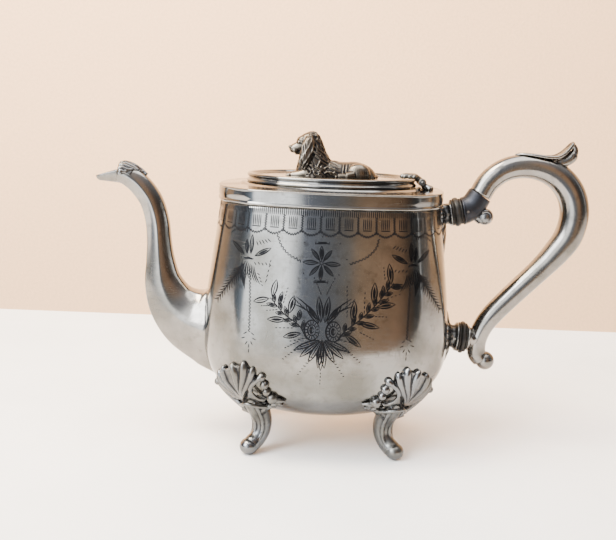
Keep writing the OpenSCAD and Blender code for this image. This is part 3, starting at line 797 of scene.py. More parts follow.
# Surround of the studio by direction, in degrees from the camera's side towards the handle.
ROOM = [(-179, (0.3, 0.28, 0.26)), (-110, (0.24, 0.27, 0.3)), (-84, (0.08, 0.085, 0.1)),
        (-64, (0.16, 0.19, 0.23)), (-50, (0.3, 0.35, 0.42)), (-40, (1.9, 1.96, 2.0)),
        (-19, (1.9, 1.96, 2.0)), (-12, (0.19, 0.21, 0.26)), (2, (0.15, 0.16, 0.18)),
        (11, (0.2, 0.18, 0.16)), (15, (0.34, 0.23, 0.15)), (33, (0.3, 0.18, 0.11)),
        (39, (0.1, 0.065, 0.045)), (56, (0.045, 0.045, 0.045)), (78, (0.07, 0.07, 0.07)),
        (82, (0.7, 0.7, 0.7)), (86, (0.08, 0.08, 0.08)), (120, (0.3, 0.23, 0.18))]


ROOM_STRENGTH = 3.5


def room_light():
    """Surround with upright bands of light and dark, evenly dim overhead."""
    world = bpy.data.worlds.new("studio")
    bpy.context.scene.world = world
    world.use_nodes = True
    tree = Tree(world.node_tree)
    back = world.node_tree.nodes["Background"]
    way = tree.node("ShaderNodeSeparateXYZ")
    tree.link(tree.node("ShaderNodeTexCoord").outputs["Generated"], way.inputs[0])
    turn = tree.math('ARCTAN2', way.outputs[0], tree.math('MULTIPLY', way.outputs[1], -1))
    ramp = tree.node("ShaderNodeValToRGB")
    tree.link(tree.span(turn, -math.pi, math.pi), ramp.inputs[0])
    stops = ramp.color_ramp.elements
    for degrees, colour in ROOM:
        place = degrees / 360 + 0.5
        stop = stops[0] if degrees == ROOM[0][0] else stops.new(place)
        stop.position, stop.color = place, (*colour, 1)
    stops.remove(stops[-1])
    high_up = tree.span(way.outputs[2], 0.35, 0.95)
    tree.link(tree.blend(high_up, ramp.outputs[0], (0.28, 0.28, 0.3, 1)), back.inputs[0])
    back.inputs[1].default_value = ROOM_STRENGTH


def make_camera():
    camera = bpy.data.cameras.new("camera")
    camera.sensor_width = 36
    camera.lens = 51.02
    camera.clip_start = 0.01
    holder = bpy.data.objects.new("camera", camera)
    place = Matrix.Translation(((AXIS_X - 11) * MM, -0.480, 0.182))
    tilt = Matrix.Rotation(math.radians(90 - 10.15), 4, 'X')
    roll = Matrix.Rotation(math.radians(2.2), 4, 'Z')
    holder.matrix_world = place @ tilt @ roll
    bpy.context.scene.collection.objects.link(holder)
    bpy.context.scene.camera = holder


def make_stage():
    colours = bpy.context.scene.teapot_colours
    floor = stage_material("stage_floor", colours.floor, 9, 0.02)
    wall = stage_material("stage_wall", colours.wall, 260, 0.35)
    stage_sheet("floor", [(-0.28, 0), (0.28, 0)], 2.4, floor)
    stage_sheet("floor_edge", [(0.28, 0), (0.284, -0.002), (0.285, -0.006), (0.285, -0.05)],
                2.4, floor)
    stage_sheet("backdrop", [(0.8, -0.8), (0.8, 1.8)], 4, wall)
    area_light("window", (-1.0, -0.75, 0.9), (0, 0, 0.08), (0.7, 0.9), 48, (0.96, 0.98, 1.0))
    area_light("ceiling", (0.1, -0.2, 1.5), (0, 0, 0.1), (1.4, 1.0), 32, (1.0, 0.98, 0.95))
    area_light("wall_wash", (-0.5, -0.1, 1.0), (-0.15, 0.8, 0.2), (0.5, 0.5), 34, (1.0, 0.86, 0.66))
    room_light()
    make_camera()


# ---------------------------------------------------------------- castings
def keep_outside(points, sink=0.5):
    """Moves points that lie deep inside the body's wall to just under its surface."""
    points = np.array(points, float)
    x, y, z = points.T
    outline = body_outline()
    flat = np.interp(z, outline[:, 1], outline[:, 2])
    angle = np.arctan2(y * plan_radius(math.pi / 2, flat) / WIDTH_RATIO, x * plan_radius(0, flat))
    wall = wall_at(angle, z)
    level = (z > outline[0, 1]) & (z < outline[-1, 1])
    deep = level & (np.hypot(x, y) < np.hypot(wall[:, 0], wall[:, 1]) - sink)
    points[deep] = wall_at(angle[deep], z[deep], -sink)
    return points


def evaluated_mesh(holder):
    """Plain mesh of an object with its modifiers carried out; the object is removed."""
    graph = bpy.context.evaluated_depsgraph_get()
    mesh = bpy.data.meshes.new_from_object(holder.evaluated_get(graph))
    old = holder.data
    bpy.data.objects.remove(holder)
    bpy.data.meshes.remove(old)
    return mesh


def sculpted(name, parts, voxel, material, body="pot", slot="cast_silver", relax=2,
             finish=None, reach=4):
    """Melts overlapping parts into one casting and stores its recesses for the deposit."""
    points, faces = joined(parts)
    raw = bpy.data.meshes.new(name + "_raw")
    raw.from_pydata((points * MM).tolist(), [], [list(map(int, f)) for f in faces])
    holder = bpy.data.objects.new(name + "_raw", raw)
    bpy.context.scene.collection.objects.link(holder)
    tidy_mesh(holder)
    remesh = holder.modifiers.new("melt", 'REMESH')
    remesh.mode = 'VOXEL'
    remesh.voxel_size = voxel * MM
    relaxing = holder.modifiers.new("relax", 'SMOOTH')
    relaxing.iterations = relax
    relaxing.factor = 0.5
    mesh = evaluated_mesh(holder)
    flat = np.empty(len(mesh.vertices) * 3)
    mesh.vertices.foreach_get("co", flat)
    places = flat.reshape(-1, 3) / MM
    if finish:
        places = finish(places)
    polygons = [tuple(p.vertices) for p in mesh.polygons]
    bpy.data.meshes.remove(mesh)
    piece = new_piece(name, places, polygons, material, body, slot)
    hollow_mask(piece, reach)
    return piece


def teardrop(path, start, end, count=10, flatten=1.0, side=(0, 1, 0)):
    """Tapering lobe: thin at the start of its path, full near the end, and rounded there."""
    t = np.linspace(0, 1, len(path))
    radii = mix(start, end, smooth_step(0, 0.85, t)) * np.sqrt(np.clip(1 - ((t - 0.8) / 0.2).clip(0) ** 2
                                                                     * 0.85, 0, 1))
    return swept(path, radii, count, flatten, side)


def on_axis(place, tilt):
    """Turns a shape made along +Z to lie along +X, tilted, starting at a place."""
    return Matrix.Translation(place) @ Matrix.Rotation(math.radians(90 - tilt), 4, 'Y')


UPPER_MOUNT, UPPER_TILT, UPPER_THICK = (66.6, 0, 131.2), 11, 5.8
LOWER_MOUNT, LOWER_TILT, LOWER_THICK = (74.6, 0, 61.2), -5, 5


def fluted(profile, lobes, depth, count=96):
    """Turned shape whose middle levels are fluted: [radius, height, share of flute]."""
    angle = np.linspace(0, 2 * math.pi, count, endpoint=False)
    rings = []
    for radius, height, share in profile:
        r = radius * (1 + depth * share * (np.abs(np.cos(angle * lobes / 2)) ** 0.6 - 0.7))
        rings.append(np.stack([r * np.cos(angle), r * np.sin(angle),
                               np.full(count, float(height))], 1))
    return lofted(rings)


def end_leaf(centre_z, reach, lobes, lift):
    """Fluted leaf on the body's end wall; reach is its length down, aside and up, in mm."""
    turn = np.linspace(-math.pi, math.pi, 180, endpoint=False)
    length = np.interp(np.abs(turn), np.linspace(0, math.pi, len(reach)), reach)
    flute = np.abs(np.cos(turn * lobes / 2)) ** 0.7

    def level(share, height):
        far = share * length * (1 - 0.16 * share * share * (1 - flute))
        z = np.minimum(centre_z - np.cos(turn) * far, WALL_TOP - 1.1)
        return wall_at(np.sin(turn) * far / 64, z, height)

    top = [level(t, lift * (1 - t ** 1.5) + 1.1 * flute * (1 - t ** 5) + 0.25)
           for t in np.linspace(0.03, 1, 14)]
    return [lofted(top + [level(1, -0.7), level(0.03, -0.7)])]


def make_mounts():
    """Cast sockets with their leaves, turned insulators, the lead cap, curl and pins."""
    cast, horn = MATERIALS["cast"], MATERIALS["horn"]
    cup = [(0.01, 0, 0), (5.6, 0, 0), (7.1, 0, 0), (7.25, -0.4, 0), (7.25, -0.9, 0), (6.8, -1.4, 0),
           (6, -1.8, 0.3), (5.6, -2.6, 0.7), (5.5, -3.6, 0.8), (6, -4.8, 0.8), (7.2, -6.2, 0.7),
           (9, -7.6, 0.4), (9.6, -9, 0), (0.01, -9, 0)]
    upper = [placed(fluted(cup, 10, 0.12), on_axis(UPPER_MOUNT, UPPER_TILT))]
    upper += end_leaf(129, [23, 15.5, 12, 10.5, 9], 14, 1.7)
    trim = sculpted("upper_socket_leaf", upper, 0.4, cast, relax=3,
                    finish=lambda p: keep_outside(np.minimum(p, [999, 999, WALL_TOP + 0.5])))
    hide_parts("upper_socket")
    wide = [(r * 1.12, z, f) for r, z, f in cup]
    lower = [placed(fluted(wide, 10, 0.12), on_axis(LOWER_MOUNT, LOWER_TILT))]
    lower += end_leaf(61, [17, 13.5, 12, 13.5, 17], 16, 1.7)
    trim = sculpted("lower_socket_leaf", lower, 0.4, cast, finish=keep_outside, relax=3)
    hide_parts("lower_socket")
    for name, place, tilt, thick, r in (
            ("upper_insulator", UPPER_MOUNT, UPPER_TILT, UPPER_THICK, 8),
            ("lower_insulator", LOWER_MOUNT, LOWER_TILT, LOWER_THICK, 9)):
        shape = [(0.01, -3), (3, -3), (3, 0.06), (r - 1.3, 0.06)]
        shape += [(r - 1.2 + 0.45 * math.cos(a), 0.6 + 0.5 * math.sin(a))
                  for a in np.linspace(-1.5, 1.5, 6)]
        shape += [(r - 1.45, 1.25), (r - 1.2, 1.45)]
        shape += [(r - 0.95 + 0.95 * math.cos(a), thick / 2 + (thick / 2 - 1.4) * math.sin(a))
                  for a in np.linspace(-1.4, 1.4, 12)]
        shape += [(r - 1.2, thick - 1.45), (r - 1.45, thick - 1.25)]
        shape += [(r - 1.3 + 0.45 * math.cos(a), thick - 0.6 + 0.5 * math.sin(a))
                  for a in np.linspace(-1.5, 1.5, 6)]
        shape += [(r - 1.4, thick - 0.06), (3, thick - 0.06), (3, thick + 3), (0.01, thick + 3)]
        disc = new_piece(name + "_disc", *placed(lathe(shape, 72), on_axis(place, tilt)), horn,
                         slot="horn")
        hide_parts(name)
    line = [[72.0, 131.9, 7.2, 7.2], [74.2, 132.9, 7.35, 7.3], [78.2, 135.6, 7.15, 7],
            [81.9, 141.7, 6.75, 6.7]]
    rings = tube_rings(line, 36, round_section(56))
    face = np.array(on_axis(UPPER_MOUNT, UPPER_TILT) @ Vector((0, 0, UPPER_THICK + 0.05)))
    away = np.array(on_axis((0, 0, 0), UPPER_TILT) @ Vector((0, 0, 1)))
    for i, r in enumerate(rings):
        gap = np.minimum((r - face[:3]) @ away[:3], 0)
        rings[i] = r - gap[:, None] * away[:3]
    sleeve = lofted(rings)
    rim = [(face[:3] + away[:3] * 0.7 + 7.1 * (math.cos(a) * np.array([0, 1, 0])
            + math.sin(a) * np.cross(away[:3], [0, 1, 0]))) for a in np.linspace(0, 2 * math.pi, 49)]
    lip = swept(rim, 0.62, 10, side=away[:3])
    cap = sculpted("lead_cap", [sleeve, lip], 0.35, MATERIALS["lead"], slot="lead_cap", relax=3)
    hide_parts("upper_ferrule")
    centre = np.array([85.4, 0, 129.7])
    turns = np.linspace(2.35, -4.6, 40)
    spiral = [centre + [mix(3.7, 0.8, i / 39) * math.cos(a), 0, mix(3.6, 0.8, i / 39) * math.sin(a)]
              for i, a in enumerate(turns)]
    curl = [ball(centre, 4.6, (1, 0.92, 1), 24, 36),
            swept(curve_through([(77.5, 0, 131), (80.5, 0, 130.4), (84, 0, 128)], 12), 3.3, 20)]
    curl += [placed(swept(spiral[:30], np.linspace(1.15, 0.7, 30), 10),
                    Matrix.Translation((0, y, 0))) for y in (-3, 3)]
    volute = sculpted("handle_curl", curl, 0.33, MATERIALS["cast"], relax=4)
    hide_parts("upper_curl")
    boss = [(0.01, 0.06), (6.4, 0.06), (6.9, 0.5), (6.9, 1.2), (6.3, 1.8), (5.6, 2.4), (5.3, 3.4),
            (5, 6), (0.01, 6)]
    plug = new_piece("handle_plug", *placed(lathe(boss, 64), on_axis(LOWER_MOUNT, LOWER_TILT)
                                           @ Matrix.Translation((0, 0, LOWER_THICK))),
                     MATERIALS["smooth"], slot="cast_silver")
    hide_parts("lower_ferrule")
    keep_node("insulator_pins", MATERIALS["pins"])


def make_thumb_leaf():
    """Leaf with rolled edges on the crown of the handle, its tip curling up for the thumb."""
    spine = np.array([[99.4, 163.8, 0.5, 0.5], [102.5, 164.3, 2.6, 1.2], [107, 164.2, 4.2, 1.6],
                      [112, 163.7, 5, 1.8], [117, 163.1, 5.3, 1.9], [121.5, 163.4, 5.2, 2],
                      [125, 165.2, 4.6, 2], [127.8, 168, 3.6, 1.9], [129.6, 170.3, 2.3, 1.4],
                      [130.3, 171.2, 0.8, 0.7]])
    rows = curve_through(spine, 48)
    rings = []
    turn = np.linspace(0, 2 * math.pi, 36, endpoint=False)
    for i, (x, z, half, thick) in enumerate(rows):
        ahead = rows[min(i + 1, 47)][:2] - rows[max(i - 1, 0)][:2]
        ahead /= np.linalg.norm(ahead)
        up = np.array([-ahead[1], 0, ahead[0]])
        dish = 0.5 * thick * np.cos(turn) ** 2 - 0.25 * thick * (np.sin(turn) > 0)
        offset = thick * 0.55 * np.sin(turn) + dish
        rings.append(np.array([x, 0, z]) + np.outer(half * np.cos(turn), [0, 1, 0])
                     + np.outer(offset, up))
    parts = [lofted(rings)]
    for side in (-1, 1):
        edge = np.stack([rows[:, 0], side * (rows[:, 2] - 0.3).clip(0.2), rows[:, 1] + 0.5], 1)
        parts.append(swept(edge, mix(0.5, 0.95, smooth_step(0, 20, np.arange(48))), 12))
    vein = np.stack([rows[4:44, 0], rows[4:44, 0] * 0, rows[4:44, 1] + 0.35], 1)
    parts.append(swept(vein, 0.45, 8))
    parts.append(teardrop(curve_through([(107, 0, 161.4), (116, 0, 160.6), (124, 0, 160.6),
                                         (129.4, 0, 163.4), (131.4, 0, 167.2)], 24), 2.6, 3.2, 16))
    parts.append(swept(curve_through([(124, 0, 161), (129.8, 0, 163.6), (131.7, 0, 167.4),
                                      (130.7, 0, 170.6)], 20), np.linspace(3, 1.3, 20), 16))
    leaf = sculpted("thumb_leaf_casting", parts, 0.36, MATERIALS["smooth"], relax=2)
    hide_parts("thumb_leaf")


def spout_surface(t, degrees, lift):
    """Point on the spout's neck; degrees are counted from the top of its section."""
    stations = np.array(SPOUT_LINE)
    here = through(stations, t)
    along = through(stations, min(t + 0.02, 11)) - through(stations, t - 0.02)
    along = along[:2] / np.linalg.norm(along[:2])
    a = math.radians(degrees)
    return np.array([here[0] + along[1] * math.cos(a) * (here[2] + lift),
                     math.sin(a) * (here[3] + lift),
                     here[1] - along[0] * math.cos(a) * (here[2] + lift)])


def make_spout_leaf():
    """Acanthus cap on the top of the spout's mouth."""
    parts = []
    rays = [(0, 0, 9.2, 11, 1, 1.7), (13, 20, 9.45, 10.95, 0.6, 1.3), (26, 42, 9.7, 10.95, 0.6, 1.25),
            (42, 62, 9.95, 10.95, 0.6, 1.2), (60, 80, 10.2, 10.9, 0.5, 1.1)]
    for start, end, first, last, thin, full in rays:
        for side in ((-1, 1) if start else (1,)):
            path = [spout_surface(mix(first, last, t), side * (mix(start, end, t)
                                                               + 5 * math.sin(t * 6)), 0.3 + 0.6 * t)
                    for t in np.linspace(0, 1, 16)]
            parts.append(teardrop(path, thin, full, 10))
    for side in (-1, 1):
        for t, degrees, r in ((10.9, 12, 1.6), (10.93, 34, 1.4), (10.9, 56, 1.3), (10.7, 78, 1.2)):
            parts.append(ball(spout_surface(t, side * degrees, 0.6), r, rows=10, count=14))
    skin = [[*through(SPOUT_LINE, t)[:2], *(through(SPOUT_LINE, t)[2:] + 0.45)]
            for t in np.linspace(9.9, 11, 8)]
    turn = np.linspace(-1.35, 1.35, 31)
    arc = np.concatenate([np.stack([np.cos(turn), np.sin(turn)], 1),
                          0.88 * np.stack([np.cos(turn[::-1]), np.sin(turn[::-1])], 1)])
    parts.append(lofted(tube_rings(skin, 16, arc)))
    leaf = sculpted("spout_leaf_casting", parts, 0.3, MATERIALS["cast"], relax=2)
    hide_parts("spout_leaf")


def knuckle(start, end, radius):
    """Turned barrel along Y with rounded rims."""
    shape = [(0.01, start), (radius - 0.3, start), (radius, start + 0.3), (radius, end - 0.3),
             (radius - 0.3, end), (0.01, end)]
    return placed(lathe(shape, 40), Matrix.Translation(HINGE) @ Matrix.Rotation(-math.pi / 2, 4, 'X'))


def make_hinge():
    """Knuckles, domed pin, and the leaves that cover the hinge on body and lid."""
    x, _, z = HINGE
    body_leaf = []
    for side in (-1, 1):
        ends = sorted((side * 3.5, side * 7.6))
        body_leaf.append(knuckle(*ends, 2.1))
        body_leaf.append(swept([(x + 1, side * 5.6, z - 1.2), (x + 2.6, side * 5.2, z - 2.8),
                                (x + 4.4, side * 4, z - 3.9)], [1.5, 1.6, 1.1], 12))
    for y0, y1, reach, r in ((-6, -7.5, 4.6, 1.2), (-3, -3.6, 6.6, 1.3), (0, 0, 7.6, 1.4),
                             (3, 3.6, 6.6, 1.3), (6, 7.5, 4.6, 1.2)):
        path = curve_through([(x + 2.6, y0, z - 1.8), (x + 3.6, mix(y0, y1, 0.6), z - 2.8),
                              (x + min(reach, 7), y1, z - 3.7)], 12)
        body_leaf.append(teardrop(path, r, r * 1.1))
    leaf = sculpted("hinge_body_casting", body_leaf, 0.28, MATERIALS["cast"], relax=3)
    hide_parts("hinge_body_leaf")
    lid_leaf = [knuckle(-3.2, 3.2, 2.1)]
    lid_leaf.append(swept([(x - 0.4, 0, z + 0.7), (x - 3.2, 0, z + 2.4), (x - 6.5, 0, z + 3)],
                          [1.7, 1.9, 1.3], 16, 2.4, side=(0, 0, 1)))
    for degrees, length, r in ((0, 11.5, 1.4), (18, 10.5, 1.35), (-18, 10.5, 1.35), (38, 8.6, 1.3),
                               (-38, 8.6, 1.3), (60, 7, 1.2), (-60, 7, 1.2)):
        a = math.radians(degrees)
        path = curve_through([(x - 1, math.sin(a) * 1.5, z + 1.9),
                              (x - 1.6 - math.cos(a) * length * 0.5, math.sin(a) * length * 0.6,
                               z + 3.2),
                              (x - 2 - math.cos(a) * length * 0.85, math.sin(a) * length, z + 2.3)], 14)
        lid_leaf.append(teardrop(path, 1.1, r))
    leaf = sculpted("hinge_lid_casting", lid_leaf, 0.28, MATERIALS["cast"], "lid", relax=3)
    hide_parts("hinge_lid_leaf")
    half = 7.75
    pin = [(0.01, -half - 0.25), (0.5, -half - 0.2), (0.78, -half), (0.78, half), (0.5, half + 0.2),
           (0.01, half + 0.25)]
    rod = new_piece("hinge_rod", *placed(lathe(pin, 24), Matrix.Translation(HINGE)
                                        @ Matrix.Rotation(math.pi / 2, 4, 'X')),
                    MATERIALS["pins"], slot="pin_metal")
    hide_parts("hinge_pin")


# ---------------------------------------------------------------- feet
HUB_Z = 33.5


def shell_point(u, v, lift):
    """Point over the belly's corner: u towards the middle of the side, v upwards, in mm."""
    u, v = np.asarray(u, float), np.asarray(v, float)
    return wall_at(math.radians(219) + (u + 0.3 * v) / 56, HUB_Z + 0.95 * v, lift)


def shell_path(points, lifts, steps=14):
    track = curve_through([(u, v, h) for (u, v), h in zip(points, lifts)], steps)
    return shell_point(track[:, 0], track[:, 1], track[:, 2])


def foot_parts():
    """Shell, scroll, knee, leg and toe of the front foot on the spout's side."""
    outward = (-0.7, -0.7, 0.1)
    parts = []
    ribs = [(-88, 17.5, 2), (-74, 18.5, 2.1), (-60, 19.5, 2.2), (-46, 20.2, 2.3),
            (-32, 21, 2.4), (-18, 22, 2.5), (-4, 23, 2.6), (10, 20.5, 2.3)]
    web = []
    for share in (0.05, 0.3, 0.55, 0.78, 0.92):
        a = np.radians(np.linspace(-93, 16, 30))
        length = share * np.interp(np.degrees(a), [r[0] for r in ribs], [r[1] for r in ribs])
        lift = 3.2 - 2.2 * share
        top = shell_point(length * np.sin(a), length * np.cos(a), lift + 0.5)
        base = shell_point(length * np.sin(a), length * np.cos(a), -0.6)
        web.append(np.concatenate([top, base[::-1]]))
    parts.append(lofted(web))
    for degrees, length, r in ribs:
        a = math.radians(degrees)
        t = np.linspace(0.08, 1, 18)
        bend = 0.16 * np.sin(t * math.pi) * np.sign(a + 0.5)
        u, v = length * t * np.sin(a + bend), length * t * np.cos(a + bend)
        lift = 2.6 - 2.1 * t ** 1.4 + 0.5 * np.sin(t * math.pi)
        parts.append(teardrop(shell_point(u, v, lift), 1, r, 14, 0.8, side=outward))
    # The C scroll beside the shell, its lobes, the rosette and the pointed leaf.
    parts.append(swept(shell_path([(8.6, 15), (5.6, 10.5), (5.4, 6), (8.4, 2.6), (12, 1.6)],
                                  [2.2, 2.8, 2.9, 2.8, 2.2], 24), np.linspace(1.3, 0.9, 24), 12))
    for u, v, lift, r in ((9, 15, 0.8, 2.3), (11.2, 10.4, 0.8, 2.4), (12.6, 6, 0.8, 2.3),
                          (15.6, 2.2, 1.2, 2.9), (15.6, 2.2, 3.4, 1.1), (19, -0.6, 0.9, 1.8),
                          (-19.5, 4.5, 1.6, 2), (-20.6, -0.5, 1.4, 1.7)):
        parts.append(ball(shell_point(u, v, lift), r, rows=12, count=18))
    parts.append(teardrop(shell_path([(24, 0.5), (20.5, 1.2), (17.5, 1)], [0.6, 1.2, 1.2]), 0.6, 1.7))
    parts.append(teardrop(shell_path([(21.5, -3), (18, -2), (14, -1.5)], [0.5, 1.2, 1.6]), 0.6, 1.6))
    parts.append(swept(shell_path([(-3.5, -2.5), (2, 0.4), (7, -0.6), (11.5, -3.6)],
                                  [5.4, 5.6, 5, 2.6], 22), 1.15, 12))
    parts.append(swept(shell_path([(-20, 2.5), (-13, -0.8), (-6.5, -3.6), (-2.5, -7)],
                                  [1.2, 2.6, 4, 5], 22), np.linspace(1.5, 1.9, 22), 12))
    parts.append(swept(shell_path([(17, -2.8), (11.5, -4), (6, -6.4)], [1, 2.2, 4], 16), 1.6, 12))
    lug = math.atan2(33, 39.3)
    reach = math.hypot(33, 39.3)
    leg = np.array([[1.03, 40, 4.4], [0.98, 34, 6], [0.92, 28, 6.2], [0.86, 22, 5.6],
                    [0.83, 17, 5.2], [0.84, 12, 4.9], [0.89, 8, 4.7], [0.96, 5.4, 4.8]])
    track = curve_through(leg, 40)
    path = np.stack([-track[:, 0] * reach * math.cos(lug), -track[:, 0] * reach * math.sin(lug),
                     track[:, 1]], 1)
    parts.append(swept(path, track[:, 2], 28, side=(0.7, -0.7, 0)))
    parts.append(ball((-39.3, -33, 4.4), 4.6, (1.1, 1.1, 0.98), 20, 28))
    # Raised ridges that run down the shin.
    for across, forward in ((-3.6, 3.1), (0, 4.9), (3.6, 3.1)):
        shift = np.array([-0.7 * forward + 0.7 * across, -0.7 * forward - 0.7 * across, 0])
        line = path[9:34] + shift * (track[9:34, 2:3] / 4.7)
        parts.append(swept(line, np.linspace(1, 0.6, 25), 10))
    parts.append(swept(shell_path([(-6, -5), (-1, -8.5), (4, -6.5)], [5.8, 5.6, 5.6], 18), 1.2, 12))
    return parts


def make_feet():
    """One cast foot, set under each corner of the belly in mirror image."""
    def finish(points):
        points[:, 2] = points[:, 2].clip(0)
        return keep_outside(points)

    first = sculpted("foot_casting", foot_parts(), 0.42, MATERIALS["cast"], finish=finish, relax=1)
    places, polygons = vertex_array(first), [tuple(p.vertices) for p in first.data.polygons]
    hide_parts("foot_front_left")
    for name, flip in (("foot_front_right", (-1, 1, 1)), ("foot_back_left", (1, -1, 1)),
                       ("foot_back_right", (-1, -1, 1))):
        other = new_piece(name + "_casting", places * flip, polygons, MATERIALS["cast"],
                          slot="cast_silver")
        hollow_mask(other, 4)
        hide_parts(name)


# ---------------------------------------------------------------- spaniel
MANE = np.array([[172.4, -12.6, 1.2, 1.0], [170.5, -12.2, 4.4, 3.8], [167, -11.8, 5.8, 5.2],
                 [162, -10.9, 6.8, 6.3], [157, -9.6, 8.6, 7.4], [152, -8.8, 10.4, 8.3],
                 [148, -8.6, 10.8, 8.6]])


def mane_point(turn, height, lift=0.0):
    """Point on the coat of neck and chest; a turn of zero is the nape."""
    order = MANE[::-1]
    turn, height = np.broadcast_arrays(np.asarray(turn, float), height)
    x, deep, wide = (np.interp(height, order[:, 0], order[:, i]) for i in (1, 2, 3))
    return np.stack([x + (deep + lift) * np.cos(turn), (wide + lift) * np.sin(turn), height], -1)


def coat_locks():
    """Wavy locks of the neck, chest and ears, each a tapering curl."""
    dice = np.random.default_rng(7)
    locks = []
    for height, many, span in ((171, 6, 1.5), (168.5, 9, 1.75), (165.5, 10, 1.8), (162.5, 11, 1.85),
                               (160, 14, 2.6), (157, 16, 3.0), (154.2, 17, 3.05), (151.6, 18, 3.05)):
        for turn in np.linspace(-span, span, many) + dice.uniform(-0.06, 0.06, many):
            t = np.linspace(0, 1, 11)
            drop = dice.uniform(4.6, 6.4)
            swing = dice.uniform(0.1, 0.17) * np.sin(t * 5.2 + dice.uniform(0, 6))
            drift = turn + swing - 0.22 * np.sign(turn) * t * (abs(turn) < 1.6)
            heights = np.maximum(height - drop * t, PLATE_Z + 0.6)
            path = mane_point(drift, heights, 0.25 * np.sin(t * 3.1) - 0.12)
            locks.append(swept(path, mix(0.66, 0.28, t), 7, side=(0.2, 0.9, 0.3)))
    for row, x0 in enumerate((-4, -1.5, 0.8)):
        for turn in np.linspace(-1.5, 1.5, 9 + row):
            t = np.linspace(0, 1, 9)
            across = turn + 0.12 * np.sin(t * 5 + row)
            x = x0 + 5 * t
            r = np.interp(x, [-4, 6], [7.6, 6.4])
            path = np.stack([x, 1.06 * r * np.sin(across), 150 + r * np.cos(across)], 1)
            path[:, 2] = np.maximum(path[:, 2], PLATE_Z + 0.5)
            locks.append(swept(path, mix(0.6, 0.2, t), 7))
    return locks


def ear(side):
    """Long hanging ear built from waved strands over a flat core."""
    core = curve_through([(-13, side * 4.4, 170), (-13.2, side * 6.6, 166.5),
                          (-14.2, side * 8, 161.5), (-15.2, side * 8.4, 156.8),
                          (-15.8, side * 7.8, 153.2)], 26)
    parts = [swept(core, np.interp(np.linspace(0, 1, 26), [0, 0.25, 0.7, 1], [2, 3.2, 3.5, 1.6]),
                   16, 0.6, side=(1, 0, 0))]
    t = np.linspace(0, 1, 30)
    for i, shift in enumerate(np.linspace(-2.4, 2.5, 7)):
        strand = np.array([through(core[::5], v * 5) for v in t])
        width = np.interp(t, [0, 0.3, 0.75, 1], [0.35, 1, 1, 0.3])
        strand[:, 0] += shift * width + 0.42 * np.sin(t * 14 + i * 1.3) * width
        strand[:, 1] += side * (1.55 - 0.07 * shift * shift + 0.2 * np.sin(t * 16 + i * 2.1))
        strand[:, 2] -= 0.5 * abs(shift) * (t > 0.9)
        parts.append(swept(strand, 0.56 * np.interp(t, [0, 0.1, 0.8, 1], [0.5, 1, 1, 0.35]), 8))
    return parts


def head_parts():
    parts = [ball((-12.6, 0, 166.8), 5.4, (1.08, 0.9, 1.02), 20, 30),
             ball((-16.6, 0, 167.2), 3.3, (1, 1.1, 0.95), 14, 22),
             swept(curve_through([(-15.5, 0, 165.4), (-19, 0, 164), (-21.6, 0, 163)], 12),
                   np.linspace(3.6, 2.5, 12), 20, 0.95),
             ball((-21.6, 0, 163), 2.4, (0.9, 1, 0.95), 14, 20),
             swept(curve_through([(-15, 0, 163), (-18.6, 0, 161.4), (-20.6, 0, 160.9)], 10),
                   np.linspace(2.6, 1.5, 10), 16, 0.8),
             ball((-23.4, 0, 164), 1.15, (0.8, 1.2, 0.85), 10, 16)]
    for side in (-1, 1):
        parts += [ball((-18.4, side * 2.5, 166.6), 0.95, rows=10, count=14),
                  swept([(-19.2, side * 1.5, 167.7), (-17.9, side * 2.7, 168.1),
                         (-16.4, side * 3.5, 167.6)], [0.5, 0.75, 0.5], 8),
                  ball((-20.4, side * 1.7, 162.2), 1.6, (1.2, 0.8, 1), 10, 14)]
        parts += ear(side)
    t = np.linspace(0, 1, 10)
    for turn in (-0.9, -0.45, 0, 0.45, 0.9):
        path = np.stack([-16.8 + 8 * t, np.sin(turn) * mix(2.4, 4.8, t) + 0.2 * np.sin(t * 9),
                         170 + 2.3 * np.sin(t * 2.3) * np.cos(turn) - 0.8 * abs(turn)], 1)
        parts.append(swept(path, mix(0.6, 0.5, t), 7))
    return parts


